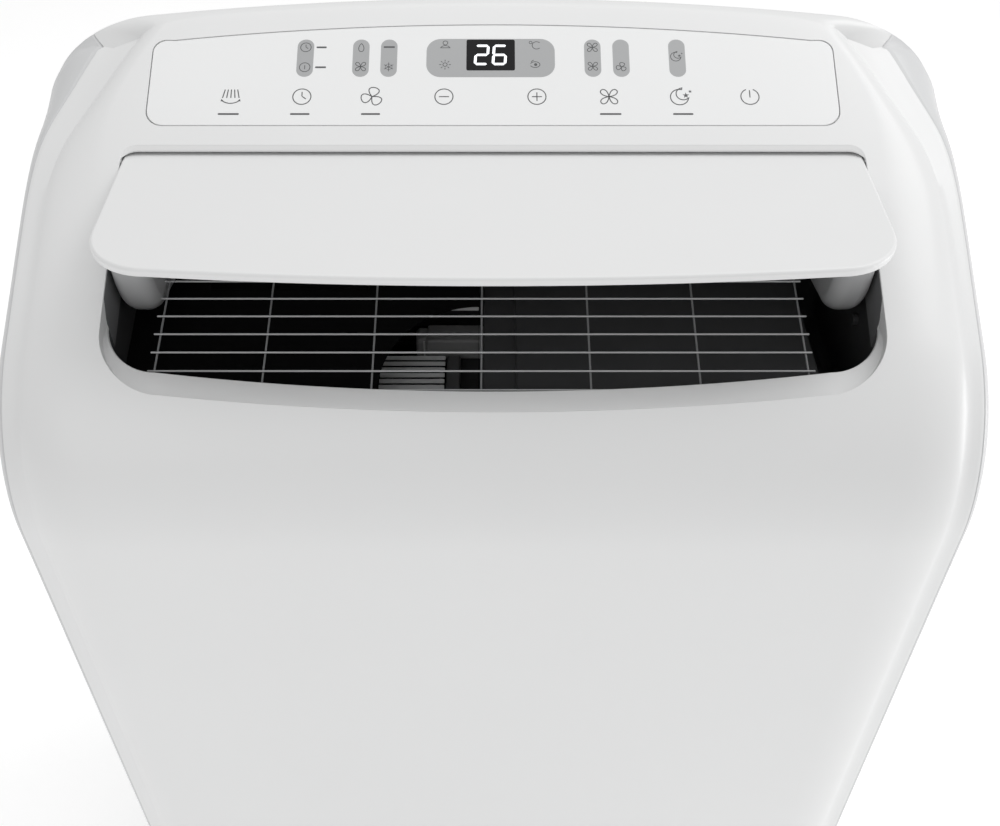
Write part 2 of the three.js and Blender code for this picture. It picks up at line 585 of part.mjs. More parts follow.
function condenserHousing() {
  const f = CONDENSER_FAN;
  const s = CONDENSER_SCROLL;
  const w = s.wall;
  const from = Math.asin((s.throatZ - f.z) / s.small);
  const outline = (grow, endX) => [
    ...volute(f.x, f.z, s.small, s.large, from, from + 1.5 * Math.PI, 16, grow),
    [endX, f.z + s.large + grow], [endX, s.throatZ - grow],
  ];
  const upright = (points, y0, y1) => plate(points, -y1, -y0).rotate(90, 0, 0);
  const body = upright(outline(w, s.endX), f.y0 - 10 - w, f.y1 + 10 + w);
  const room = upright(outline(0, s.endX + 5), f.y0 - 10, f.y1 + 10);
  const inlet = rod("y", 66, 20, f.x, f.y1 + 12, f.z, 32);
  const shaftHole = rod("y", 8, 20, f.x, f.y0 - 12, f.z, 16);
  return cut(body, room, inlet, shaftHole);
}

function exhaustDuct() {
  const f = CONDENSER_FAN;
  const s = CONDENSER_SCROLL;
  const w = s.wall;
  const x0 = s.endX + CLEAR;
  const sections = [
    { y: f.y0 - 10 - w, x0, x1: 205, z0: s.throatZ - w, z1: f.z + s.large + w },
    { y: f.y1 + 10 + w, x0, x1: 205, z0: s.throatZ - w, z1: f.z + s.large + w },
    { y: 105, x0: 66, x1: 201, z0: 264, z1: 396 },
    { y: 172, x0: 66, x1: 201, z0: 264, z1: 396 },
  ];
  const skin = (inset, extraY) => rings(sections.map((c, i) => {
    const y = c.y + (i === 0 ? extraY : i === 3 ? -extraY : 0);
    return [[c.x0 + inset, y, c.z0 + inset], [c.x1 - inset, y, c.z0 + inset],
      [c.x1 - inset, y, c.z1 - inset], [c.x0 + inset, y, c.z1 - inset]];
  }));
  const intake = block(x0 - 5, x0 + 10, f.y0 - 10, f.y1 + 10, s.throatZ, f.z + s.large);
  return cut(skin(0, 0), skin(w, w), intake, rod("y", COLLAR.inner, 20, COLLAR.x, 172, COLLAR.z, 28));
}

function exhaustCollar() {
  const c = COLLAR;
  const y0 = 172 + CLEAR;
  const bore = rod("y", c.inner, 60, c.x, 185, c.z, 28);
  const tube = rod("y", c.outer, c.endY - y0, c.x, (c.endY + y0) / 2, c.z, 28);
  const flange = rod("y", c.flange, 3, c.x, y0 + 1.5, c.z, 28);
  return cut(join(tube, flange), bore);
}

function filterCassette(f) {
  const frame = 9;
  const rib = 5;
  const y0 = BACK_Y - 12;
  const made = block(f.x0, f.x1, y0, BACK_Y, f.z0, f.z1);
  const wide = (f.x1 - f.x0 - 2 * frame + rib) / f.columns;
  const high = (f.z1 - f.z0 - 2 * frame + rib) / f.slots;
  const gaps = [];
  for (let i = 0; i < f.columns; i++) {
    for (let k = 0; k < f.slots; k++) {
      const x = f.x0 + frame + i * wide;
      const z = f.z0 + frame + k * high;
      gaps.push(block(x, x + wide - rib, y0 - 5, BACK_Y + 5, z, z + high - rib));
    }
  }
  return cut(made, ...gaps);
}

// ---------------------------------------------------------------- cooling circuit
function coil(c) {
  const fins = block(c.x0, c.x1, c.y0, c.y1, c.z0, c.z1);
  const grooves = [];
  for (let x = c.x0 + 16; x < c.x1 - 10; x += 40) {
    grooves.push(block(x, x + 5, c.y1 - 4, c.y1 + 1, c.z0 + 3, c.z1 - 3));
  }
  const bends = [];
  const step = (c.z1 - c.z0) / c.bends;
  const y = (c.y0 + c.y1) / 2;
  for (let k = 0; k < c.bends; k++) {
    const z = c.z0 + step * (k + 0.5);
    const r = step / 4;
    bends.push(bentTube([
      [c.x1 - 6, y, z - r], [c.x1 + 1, y, z - r], [c.x1 + 7.5, y, z - r * 0.7], [c.x1 + 10, y, z],
      [c.x1 + 7.5, y, z + r * 0.7], [c.x1 + 1, y, z + r], [c.x1 - 6, y, z + r],
    ], 3.5, 6, 4));
  }
  return join(cut(fins, ...grooves), ...bends);
}

function compressorShell() {
  const { x, y, radius, z0, z1 } = COMPRESSOR;
  const outline = [
    [0, z0 + 8], [radius - 14, z0 + 8], [radius, z0 + 20], [radius, z1 - 24], [radius - 8, z1 - 11],
    [radius - 26, z1 - 3], [0, z1],
  ].map(([r, z]) => new THREE.Vector2(r, z));
  const can = solid(new THREE.LatheGeometry(outline, 20).rotateX(Math.PI / 2));
  const feet = [];
  for (let i = 0; i < 3; i++) {
    feet.push(block(0, radius + 14, -11, 11, z0, z0 + 9).rotate(0, 0, 30 + i * 120));
  }
  const cover = rod("z", 13, 9, 12, 12, z1 - 2, 16);
  return join(can, ...feet, cover).translate(x, y, 0);
}

function accumulator() {
  const at = { x: 135, y: 12 };
  const outline = [
    [0, 112], [9, 114], [19, 126], [19, 226], [9, 240], [0, 242],
  ].map(([r, z]) => new THREE.Vector2(r, z));
  const can = solid(new THREE.LatheGeometry(outline, 14).rotateX(Math.PI / 2)).translate(at.x, at.y, 0);
  const tail = bentTube([
    [at.x, at.y, 120], [at.x, at.y, 106], [at.x, at.y + 6, 97],
    [at.x, COMPRESSOR.y - COMPRESSOR.radius - 0.5, 96],
  ], 5, 6, 6);
  return join(can, tail);
}

// ---------------------------------------------------------------- base and casters
function roundedOutline(x0, x1, y0, y1, frontCorner, backCorner) {
  const points = [];
  const corners = [
    [x1 - backCorner, y1 - backCorner, backCorner, 0], [x0 + backCorner, y1 - backCorner, backCorner, 1],
    [x0 + frontCorner, y0 + frontCorner, frontCorner, 2],
    [x1 - frontCorner, y0 + frontCorner, frontCorner, 3],
  ];
  for (const [cx, cy, r, quarter] of corners) {
    for (let i = 0; i <= 3; i++) {
      const a = ((quarter + i / 3) * Math.PI) / 2;
      points.push([cx + r * Math.cos(a), cy + r * Math.sin(a)]);
    }
  }
  return points;
}

const casterSpots = [-1, 1].flatMap((side) => CASTER.y.map((y) => ({
  name: `${y < 0 ? "front" : "rear"}_${side < 0 ? "left" : "right"}`, x: side * CASTER.x, y,
})));

function baseTray() {
  const b = BASE;
  const foot = plate(roundedOutline(-b.half, b.half, b.y0, b.y1, 26, 40), b.z0, b.z1);
  const wall = (inset, z0, z1) => plate(roundedOutline(
    -b.half + 8 + inset, b.half - 8 - inset, b.y0 + 8 + inset, 178 - inset, 18 - inset, 34 - inset), z0, z1);
  const wallOut = wall(0, b.z0 + 1, b.wallTop);
  const wallIn = wall(3, b.z1 - 1, b.wallTop + 5);
  const bosses = casterSpots.map((s) => rod("z", 9, 26, s.x, s.y, b.z0 + 13.5, 10));
  const bores = casterSpots.map((s) => rod("z", CASTER.stem + 0.3, 26, s.x, s.y, b.z0 + 11, 10));
  const lower = DRAINS[1];
  const spout = rod("y", DRAIN.spout, 10, lower.x, 179, lower.z, 10);
  const drain = rod("y", DRAIN.bore, 40, lower.x, 181, lower.z, 10);
  return cut(join(cut(join(foot, wallOut), wallIn), ...bosses, spout), ...bores, drain);
}

function midTray() {
  const m = MID_TRAY;
  const box = block(-m.half, m.half, m.y0, m.y1, m.z0, m.z1);
  const room = block(-m.half + m.wall, m.half - m.wall, m.y0 + m.wall, m.y1 - m.wall,
    m.z0 + m.wall, m.z1 + 5);
  const d = DRAINS[0];
  const spout = rod("y", DRAIN.spout, 8, d.x, m.y1 + 2, d.z, 10);
  return cut(join(cut(box, room), spout), rod("y", DRAIN.bore, 40, d.x, m.y1, d.z, 10));
}

function drainPlug(d) {
  const shank = rod("y", DRAIN.bore - 0.3, 22, d.x, BACK_Y - 7, d.z, 10);
  const head = rod("y", DRAIN.hole - 1, 3.4, d.x, BACK_Y + 2.1, d.z, 14);
  const tab = block(d.x - 2, d.x + 2, BACK_Y + 2, BACK_Y + 6.5, d.z - 6, d.z + 6);
  return join(shank, head, tab);
}

function cordGland() {
  const neck = rod("y", 8.6, 12, GLAND.x, BACK_Y - 3, GLAND.z, 14);
  const head = rod("y", 11, 4, GLAND.x, BACK_Y + 2.4, GLAND.z, 14, 9);
  const collar = rod("y", 11, 3, GLAND.x, BACK_Y - WALL - 2, GLAND.z, 14);
  return cut(join(neck, head, collar), rod("y", GLAND.bore, 40, GLAND.x, BACK_Y, GLAND.z, 10));
}

function casterFork(at) {
  const top = BASE.z0 - CLEAR;
  const wheelY = at.y + CASTER.trail;
  const crown = rod("z", 14, 10, at.x, at.y, top - 5, 14);
  const stem = rod("z", CASTER.stem, 32, at.x, at.y, top + 6, 10);
  const cheek = (x0) => sideSlab([
    [at.y - 12, top - 9], [at.y + 12, top - 1], [wheelY + 6, top - 9], [wheelY + 6, 15], [wheelY - 6, 15],
    [wheelY - 9, 22],
  ], x0, x0 + 2.5);
  const out = CASTER.width / 2 + 1.2;
  const bore = rod("x", CASTER.axle + 0.1, 60, at.x, wheelY, CASTER.wheel, 8);
  return cut(join(crown, stem, cheek(at.x + out), cheek(at.x - out - 2.5)), bore);
}

function casterWheel(at) {
  const half = CASTER.width / 2;
  const bore = CASTER.axle + 0.2;
  const outline = [
    [bore, -half], [CASTER.wheel - 2, -half], [CASTER.wheel, -half + 2], [CASTER.wheel, half - 2],
    [CASTER.wheel - 2, half], [bore, half], [bore, -half],
  ].map(([r, y]) => new THREE.Vector2(r, y));
  const geometry = new THREE.LatheGeometry(outline, 20).rotateZ(Math.PI / 2);
  return solid(geometry.translate(at.x, at.y + CASTER.trail, CASTER.wheel));
}

const casterAxle = (at) => rod("x", CASTER.axle, 25.5, at.x, at.y + CASTER.trail, CASTER.wheel, 8);

// ---------------------------------------------------------------- controls
function controlBoard() {
  const card = block(-150, 150, 160.5, 204, -12, -10.4);
  const switches = KEY_X.map((x) => block(
    x + PRINT_X - 3, x + PRINT_X + 3, KEY_T - 3, KEY_T + 3, -11, -7.9));
  return onSlope(join(card, ...switches));
}

function keyPlunger(x) {
  const cap = rod("z", 4.4, 3, x + PRINT_X, KEY_T, -3.1, 12);
  const stem = rod("z", 1.75, 3, x + PRINT_X, KEY_T, -5.9, 10);
  return onSlope(join(cap, stem));
}

const displayModule = () => onSlope(block(
  PRINT_X - DISPLAY.width / 2, PRINT_X + DISPLAY.width / 2,
  DISPLAY.t - DISPLAY.height / 2, DISPLAY.t + DISPLAY.height / 2, -10.1, -10.1 + DISPLAY.depth));

function electricalBox() {
  const box = block(66, 206, -128, -62, 86, 236);
  const seam = cut(block(60, 212, -140, -55, 206, 207.5), block(67, 205, -127, -63, 200, 210));
  return cut(box, seam, block(120, 150, -64, -55, 100, 120));
}

// ---------------------------------------------------------------- assembly
const root = new THREE.Group();

// Adds one named piece, made as a solid in the unit's own frame.
function piece(name, made, material) {
  const mesh = new THREE.Mesh(geometryOf(made), material);
  mesh.name = name;
  root.add(mesh);
}

piece("front_cover", frontCover(), WHITE);
piece("side_panel_left", sidePanel(-1), LIGHT_GREY);
piece("side_panel_right", sidePanel(1), LIGHT_GREY);
piece("rear_cover", rearCover(), LIGHT_GREY);
piece("base_tray", baseTray(), DARK_GREY);

piece("control_overlay", onSlope(plate(panelOutline(), -PANEL.thick, 0)), WHITE);
piece("control_board", controlBoard(), GREEN_BOARD);
piece("display_module", displayModule(), BLACK);
KEY_X.forEach((x, i) => piece(`key_${KEY_NAMES[i]}`, keyPlunger(x), LIGHT_GREY));

piece("outlet_duct", outletDuct(), DARK_GREY);
piece("outlet_grille", outletGrille(), LIGHT_GREY);
piece("flap", flapPlate(), WHITE);
piece("flap_arm_left", flapArm(-1), LIGHT_GREY);
piece("flap_arm_right", flapArm(1), LIGHT_GREY);
piece("flap_motor", flapMotor(), STEEL);

const blowerAxis = (made) => made.translate(0, BLOWER.y, BLOWER.z);
piece("blower_housing", blowerHousing(), BLACK);
piece("blower_wheel", blowerAxis(
  blowerWheel(BLOWER.wheel, BLOWER.hub, BLOWER.x0, BLOWER.x1, BLOWER.blades, 24)), BLACK);
piece("blower_motor", blowerAxis(
  motorCan(40, BLOWER.x1 + 12.5 + CLEAR, 58, 52)), STEEL);
piece("evaporator_coil", coil(EVAPORATOR), ALUMINIUM);
piece("mid_tray", midTray(), NYLON);

const condenserAxis = (made) => alongY(made.rotate(0, 0, 180)).translate(CONDENSER_FAN.x, 0, CONDENSER_FAN.z);
piece("condenser_fan_housing", condenserHousing(), BLACK);
const { wheel, hub, y0: fanBack, y1: fanFront, blades } = CONDENSER_FAN;
piece("condenser_wheel", condenserAxis(blowerWheel(wheel, hub, -fanFront, -fanBack, blades, 20)), BLACK);
piece("condenser_motor", condenserAxis(motorCan(36, -fanBack + 12.5 + CLEAR, 18, 46)), STEEL);
piece("exhaust_duct", exhaustDuct(), DARK_GREY);
piece("exhaust_collar", exhaustCollar(), DARK_GREY);
piece("condenser_coil", coil(CONDENSER), ALUMINIUM);

piece("compressor", compressorShell(), BLACK_STEEL);
piece("accumulator", accumulator(), BLACK_STEEL);
piece("suction_pipe", bentTube([
  [135, 12, 243], [135, 12, 256], [160, 8, 258], [212, 8, 270], [219, 40, 320], [219, 110, 400],
  [219, 139, 445], [216, 141, 463], [210, 141, 465], [200.6, 141, 465],
], 4, 18, 6), COPPER);
piece("discharge_pipe", bentTube([
  [120, 95, 248], [116, 99, 256], [96, 112, 258], [76, 130, 250], [72, 139, 236], [66, 140, 226],
  [50.6, 140, 225.5],
], 3.2, 10, 6), COPPER);
piece("capillary_tube", bentTube([
  [50.6, 140, 146], [58, 140, 146], [68, 147, 136], [80, 154, 116], [110, 158, 112], [190, 155, 112],
  [222, 150, 160], [222, 158, 300],
  [221, 158, 400], [219, 150, 470], [206, 148, 487],
], 1.6, 20, 4), COPPER);
piece("splash_wheel", blowerWheel(26, 8, -8, 4, 5, 14).translate(-150, 88, 97), NYLON);
const splashMotor = join(motorCan(17, 12, 28, 19), block(12, 40, -9, 9, -34.5, -10));
piece("splash_motor", splashMotor.translate(-150, 88, 97), STEEL);
piece("electrical_box", electricalBox(), DARK_GREY);
piece("run_capacitor", rod("z", 18, 72, 190, -18, 108, 24), ALUMINIUM);

piece("filter_upper", filterCassette(UPPER_FILTER), LIGHT_GREY);
piece("filter_lower", filterCassette(LOWER_FILTER), LIGHT_GREY);
for (const d of DRAINS) piece(`drain_plug_${d.name}`, drainPlug(d), RUBBER);
piece("cord_gland", cordGland(), RUBBER);

for (const at of casterSpots) {
  piece(`caster_fork_${at.name}`, casterFork(at), BLACK);
  piece(`caster_wheel_${at.name}`, casterWheel(at), RUBBER);
  piece(`caster_axle_${at.name}`, casterAxle(at), CHROME);
}

export default root;
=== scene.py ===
"""Looks of the portable air conditioner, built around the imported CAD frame.

Lengths in the modelling code are millimetres in the CAD's own axes (X right, Y back, Z up) and become
metres when a piece is finished. The shell follows the same curves as the CAD casing, sampled finely.
"""
from math import cos, hypot, pi, radians, sin, tan
from types import SimpleNamespace as Sizes

import bmesh
import bpy
import numpy as np
from mathutils import Matrix, Vector
from mathutils.bvhtree import BVHTree


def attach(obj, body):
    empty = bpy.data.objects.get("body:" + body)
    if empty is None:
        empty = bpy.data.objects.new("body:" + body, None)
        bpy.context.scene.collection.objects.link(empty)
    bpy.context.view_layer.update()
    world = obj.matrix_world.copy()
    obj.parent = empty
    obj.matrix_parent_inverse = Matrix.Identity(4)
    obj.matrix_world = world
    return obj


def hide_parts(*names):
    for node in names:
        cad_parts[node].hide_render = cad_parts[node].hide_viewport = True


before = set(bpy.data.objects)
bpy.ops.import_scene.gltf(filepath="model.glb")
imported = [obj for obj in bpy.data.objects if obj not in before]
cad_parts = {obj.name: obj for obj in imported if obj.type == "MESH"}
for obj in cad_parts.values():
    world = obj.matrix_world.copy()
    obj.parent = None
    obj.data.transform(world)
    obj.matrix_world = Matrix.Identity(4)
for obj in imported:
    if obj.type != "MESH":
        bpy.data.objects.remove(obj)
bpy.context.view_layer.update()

# ---- casing dimensions, as in the CAD
HALF_WIDTH, BACK_Y, WALL, SEAM = 240.0, 188.0, 3.0, 0.55
SKIRT_Z, DOME_FOOT_Z = 62.0, 590.0
SLOPE, UNDERCUT, DOME = radians(30.1), radians(4), radians(22)
FOOT_Y, FOOT_Z = -174.0, 650.0
FRONT_Y, FRONT_Z = -188.5, 469.0
BEND_R, RIDGE_T, RIDGE_R = 100.0, 225.0, 12.0
RIM, RIM_INSET, RIM_FLANGE, FACE_ROUND = 231.0, 10.0, 6.5, 38.0
ARCH, ARCH_X = 11.3, 185.0
FRONT_PART, PART_Y, REAR_PART_Y, TOP_PART_X = 10.8, 27.0, 112.0, 196.0
FAR = 300.0  # past the object on every side
BEND_TRIM = 0.26  # the finely curved bend is drawn back by this much, to stay inside the faceted CAD

RECESS = Sizes(half=185.5, top=133, bottom=-3.4, top_r=8, low_r=31, arch=7.4)
OPENING = Sizes(half=185.6, top=132, bottom=8.2, top_r=7, low_r=25, arch=9.65)
FLAP = Sizes(half=184.9, top=129.2, bottom=-2.3, top_r=8, low_r=30, arch=7)
STEP, LEDGE = 6.3, 10.5
PANEL = Sizes(half=175, bottom=147.5, side=198, crown=208, r=9, top_r=7, thick=1.2)
PRINT_X, KEY_T, DISPLAY_T = -1.2, 164.0, 189.5
KEY_X = dict(swing=-132, timer=-96, mode=-60, minus=-24, plus=24, speed=60, sleep=96, power=132)
PIVOT_T, PIVOT_N, FLAP_OPEN, FLAP_SWEEP = 113.8, -62.6, radians(27.6), 63.9
FLAP_TOP, FLAP_THICK = -1.2, 4.6
HANDLE = Sizes(y0=-20, y1=80, z0=596, z1=640, depth=30, wall=2.5)
UPPER_FILTER = Sizes(x0=-188, x1=188, z0=440, z1=582, columns=2, slots=8)
LOWER_FILTER = Sizes(x0=-205, x1=50, z0=100, z1=388, columns=2, slots=13)
FILTER_GAP = 0.5
COLLAR = Sizes(x=132, z=330, inner=61.5, outer=64, flange=67.5, y0=172.4, y1=195.6)
DRAINS = dict(upper=(-150, 411), lower=(0, 78))
GLAND_X, GLAND_Z = 165, 110
GUARD_TILT, GUARD_FOOT = radians(18.7), (-5.6, -126.4, 652.1)
CASTERS = {f"{'front' if y < 0 else 'rear'}_{'left' if x < 0 else 'right'}": (x, y)
           for x in (-185, 185) for y in (-108, 138)}


def lerp(a, b, s):
    return a + (b - a) * s


def ease(a, b, v):
    s = np.clip((np.asarray(v, float) - a) / (b - a), 0, 1)
    return s * s * (3 - 2 * s)


# ---- meshes
def add_object(name, data):
    obj = bpy.data.objects.new(name, data)
    bpy.context.scene.collection.objects.link(obj)
    return obj


def mesh_object(verts, faces, name="form"):
    data = bpy.data.meshes.new(name)
    data.from_pydata([tuple(map(float, v)) for v in verts], [], [tuple(map(int, f)) for f in faces])
    bm = bmesh.new()
    bm.from_mesh(data)
    bmesh.ops.recalc_face_normals(bm, faces=bm.faces[:])
    bm.to_mesh(data)
    bm.free()
    return add_object(name, data)


def ring_skin(rings, closed_path=False):
    """A closed skin through equal rings of points, with a flat cap at each end unless it closes on itself."""
    rings = [np.asarray(r, float) for r in rings]
    n, m = len(rings[0]), len(rings)
    faces = []
    for r in range(m if closed_path else m - 1):
        a, b = r * n, ((r + 1) % m) * n
        faces += [(a + i, a + (i + 1) % n, b + (i + 1) % n, b + i) for i in range(n)]
    if not closed_path:
        faces += [tuple(range(n - 1, -1, -1)), tuple((m - 1) * n + i for i in range(n))]
    return mesh_object(np.vstack(rings), faces)


def place(obj, pose):
    obj.data.transform(pose)
    return obj


def bake(obj):
    """Applies an object's modifiers."""
    bpy.context.view_layer.update()
    graph = bpy.context.evaluated_depsgraph_get()
    made = bpy.data.meshes.new_from_object(obj.evaluated_get(graph))
    obj.modifiers.clear()
    obj.data = made
    return obj


def copy_of(obj):
    return add_object(obj.name, obj.data.copy())


def boolean(how, base, *tools):
    for tool in tools:
        modifier = base.modifiers.new("cut", "BOOLEAN")
        modifier.object, modifier.operation, modifier.solver = tool, how, "MANIFOLD"
        bake(base)
        bpy.data.objects.remove(tool)
    return base


def cut(base, *tools):
    return boolean("DIFFERENCE", base, *tools)


def join(base, *tools):
    return boolean("UNION", base, *tools)


def common(base, tool):
    return boolean("INTERSECT", base, tool)


def bevel(obj, width, segments, degrees):
    modifier = obj.modifiers.new("edges", "BEVEL")
    modifier.width, modifier.segments, modifier.limit_method = width, segments, "ANGLE"
    modifier.angle_limit = radians(degrees)
    return bake(obj)


def gather(pieces):
    """Several separate closed meshes as one object."""
    bm = bmesh.new()
    for p in pieces:
        bm.from_mesh(p.data)
        bpy.data.objects.remove(p)
    obj = add_object("form", bpy.data.meshes.new("form"))
    bm.to_mesh(obj.data)
    bm.free()
    return obj


def block(x0, x1, y0, y1, z0, z1):
    ring = [(x0, y0), (x1, y0), (x1, y1), (x0, y1)]
    return ring_skin([[(x, y, z) for x, y in ring] for z in (z0, z1)])


def quarter(cx, cy, r, start, steps):
    """A quarter circle round (cx, cy) from the angle start."""
    return [(cx + r * cos(start + a), cy + r * sin(start + a))
            for a in np.linspace(0, pi / 2, steps + 1)]


def rounded(x0, x1, y0, y1, r, steps=8, inset=0.0):
    """A rectangle's outline with corners of radius r, drawn in by inset."""
    centres = (x1 - r, y1 - r), (x0 + r, y1 - r), (x0 + r, y0 + r), (x1 - r, y0 + r)
    return [p for q, (cx, cy) in enumerate(centres) for p in quarter(cx, cy, r - inset, q * pi / 2, steps)]


def rounded_block(x0, x1, y0, y1, z0, z1, r=1.0, steps=4):
    """A block with every edge rounded."""
    turns = np.linspace(0, pi / 2, steps + 1)
    levels = [(r * (1 - sin(a)), z0 + r * (1 - cos(a))) for a in turns]
    levels += [(r * (1 - cos(a)), z1 - r * (1 - sin(a))) for a in turns]
    return ring_skin([[(x, y, z) for x, y in rounded(x0, x1, y0, y1, r, steps, min(r - 0.02, inset))]
                               for inset, z in levels])


AXES = {"x": Matrix(((0, 0, 1), (1, 0, 0), (0, 1, 0))), "y": Matrix(((1, 0, 0), (0, 0, 1), (0, -1, 0))),
        "z": Matrix.Identity(3)}


def turned(axis, outline, centre=(0, 0, 0), sides=48, closed=False):
    """A solid of revolution: outline is [(radius, height)] along the axis; closed makes it a ring."""
    turn, middle = AXES[axis], Vector(centre)
    angles = [2 * pi * i / sides for i in range(sides)]
    rings = [[turn @ Vector((r * cos(a), r * sin(a), h)) + middle for r, h in outline] for a in angles]
    if closed:
        return ring_skin(rings, closed_path=True)
    n = len(outline)
    faces = []
    for i in range(sides):
        a, b = i * n, ((i + 1) % sides) * n
        faces += [(a + k, a + k + 1, b + k + 1, b + k) for k in range(n - 1)]
    faces += [tuple(i * n + end for i in range(sides)) for end in (0, n - 1)]
    return mesh_object([v for ring in rings for v in ring], faces)


def rod(axis, radius, length, centre, sides=32, edge=0.0):
    h = length / 2
    outline = [(radius, -h), (radius, h)]
    if edge > 0:
        turns = np.linspace(0, pi / 2, 5)
        outline = [(radius - edge + edge * sin(a), -h + edge * (1 - cos(a))) for a in turns]
        outline += [(radius - edge + edge * cos(a), h - edge * (1 - sin(a))) for a in turns]
    return turned(axis, outline, centre, sides)


def side_slab(outline, x0, x1):
    """A side-view outline [(y, z)] stretched from x0 to x1."""
    return ring_skin([[(x, y, z) for y, z in outline] for x in (x0, x1)])


WIRE_SIDES = 10


def tube(points, radius):
    """A round wire along a polyline, with rounded ends."""
    pts = [Vector(p) for p in points]
    last = len(pts) - 1
    rings = []
    for i, p in enumerate(pts):
        d = (pts[min(i + 1, last)] - pts[max(i - 1, 0)]).normalized()
        u = d.orthogonal().normalized() if i == 0 else (u - d * u.dot(d)).normalized()
        v = d.cross(u)
        before, after = [(0.35, -0.5), (0.8, -0.25)] * (i == 0), [(0.8, 0.25), (0.35, 0.5)] * (i == last)
        for scale, shift in before + [(1, 0)] + after:
            rings.append([p + d * (shift * radius) + (u * cos(a) + v * sin(a)) * radius * scale
                          for a in np.linspace(0, 2 * pi, WIRE_SIDES, endpoint=False)])
    return ring_skin(rings)


# ---- the casing's curves
def slope_point(t, n):
    return (FOOT_Y + t * cos(SLOPE) - n * sin(SLOPE), FOOT_Z + t * sin(SLOPE) + n * cos(SLOPE))


def bend_centre():
    sy, sz, fy, fz = sin(SLOPE), -cos(SLOPE), cos(UNDERCUT), sin(UNDERCUT)
    a, b = sy * FOOT_Y + sz * FOOT_Z + BEND_R, fy * FRONT_Y + fz * FRONT_Z + BEND_R
    det = sy * fz - sz * fy
    return (a * fz - b * sz) / det, (sy * b - fy * a) / det


BEND_Y, BEND_Z = bend_centre()
BEND_T = (BEND_Y - FOOT_Y) * cos(SLOPE) + (BEND_Z - FOOT_Z) * sin(SLOPE)
BEND_FOOT_Z = BEND_Z - BEND_R * sin(UNDERCUT)
BEND_FOOT_T = ((BEND_Y - BEND_R * cos(UNDERCUT) - FOOT_Y) * cos(SLOPE)
               + (BEND_FOOT_Z - FOOT_Z) * sin(SLOPE))
SLOPE_ANGLE = pi / 2 + SLOPE
ROWS = ([("front", s) for s in np.linspace(0, 1, 15)[:-1]]
        + [("bend", s) for s in np.linspace(0, 1, 19)]
        + [("slope", t) for t in (44, 56, 68, 80, 90, 100, 107, 114, 121, 128)]
        + [("upper", s) for s in np.linspace(0, 1, 15)]
        + [("ridge", s) for s in np.linspace(0, 1, 9)[1:]]
        + [("dome", s) for s in np.linspace(0, 1, 22)[1:]]
        + [("back", z) for z in (540, 490, 440, 380, 320, 255, 190, 125, SKIRT_Z)])


def row_at(row, depth):
    """(y, z, t, side) of one row of the side-view profile, `depth` under the outer surface."""
    kind, s = row
    depth = np.asarray(depth, float)
    slope_end = RIDGE_T - (RIDGE_R + depth) * tan((SLOPE + DOME) / 2)
    if kind == "front":
        z = lerp(SKIRT_Z, BEND_FOOT_Z, s)
        t = lerp(SKIRT_Z - FOOT_Z, BEND_FOOT_T, s)
        y = FRONT_Y - (z - FRONT_Z) * tan(UNDERCUT) + depth / cos(UNDERCUT)
        return y, z + 0 * y, t + 0 * y, 0.0
    if kind == "bend":
        a = lerp(pi + UNDERCUT, SLOPE_ANGLE, s)
        y, z = BEND_Y + (BEND_R - depth) * cos(a), BEND_Z + (BEND_R - depth) * sin(a)
        return y, z, (y - FOOT_Y) * cos(SLOPE) + (z - FOOT_Z) * sin(SLOPE), 0.0
    if kind in ("slope", "upper"):
        t = s + 0 * depth if kind == "slope" else lerp(135, slope_end, s)
        return (*slope_point(t, -depth), t, 0.0)
    ry, rz = slope_point(slope_end, -depth - RIDGE_R)
    if kind == "ridge":
        a = lerp(SLOPE_ANGLE, pi / 2 - DOME, s)
        return ry + RIDGE_R * cos(a), rz + RIDGE_R * sin(a), slope_end, s
    if kind == "dome":
        a = pi / 2 - DOME
        y0, z0 = ry + RIDGE_R * cos(a), rz + RIDGE_R * sin(a)
        k = ((1 - s) ** 3, 3 * s * (1 - s) ** 2, 3 * s * s * (1 - s), s ** 3)
        back = BACK_Y - depth
        y = k[0] * y0 + k[1] * (y0 + 100 * cos(DOME)) + (k[2] + k[3]) * back
        z = k[0] * z0 + k[1] * (z0 - 100 * sin(DOME)) + k[2] * (DOME_FOOT_Z + 105) + k[3] * DOME_FOOT_Z
        return y, z, slope_end, 1.0
    return BACK_Y - depth, s + 0 * depth, slope_end, 1.0


STATIONS = np.array([i / 8 for i in range(8)] + [1 + i / 4 for i in range(4)] + [2 + i / 4 for i in range(8)]
                    + [4, 4.5, 5] + [5 + i / 4 for i in range(1, 13)])


def front_station(u, t):
    """(x, inset) across a front row: u runs 0 … 8 from the middle to the side wall."""
    rim = RIM - 25 * np.maximum(0, (t - 100) / 103) ** 2.2 - np.maximum(0, -t) * 0.012
    rounding = lerp(FACE_ROUND, 27, ease(100, 200, t))
    flange, foot = lerp(RIM_FLANGE, 13, ease(95, 190, t)), lerp(8.2, 6.6, ease(150, 200, t))
    side_inset = lerp(30, 42, ease(110, 210, t))
    widest = HALF_WIDTH - np.maximum(0, -t) * 0.012
    if u <= 1:
        return u * (rim - rounding), 0 * rim
    if u <= 4:
        c = lerp(flange, rounding, np.interp(u, [1, 2, 3, 4], [1, 0.6, 0.27, 0]))
        roll = 1 - np.sqrt(1 - ((rounding - c) / (rounding - 4)) ** 2)
        full = 1 - np.sqrt(1 - ((rounding - flange) / (rounding - 4)) ** 2)
        return rim - c, roll * foot / full
    if u <= 5:
        return rim - flange * (5 - u), lerp(foot, RIM_INSET, u - 4)
    a = np.interp(u, [5, 6, 7, 8], [0, 0.35, 0.7, 1]) * pi / 2
    return lerp(rim, widest, sin(a)), lerp(RIM_INSET, side_inset, 1 - cos(a))


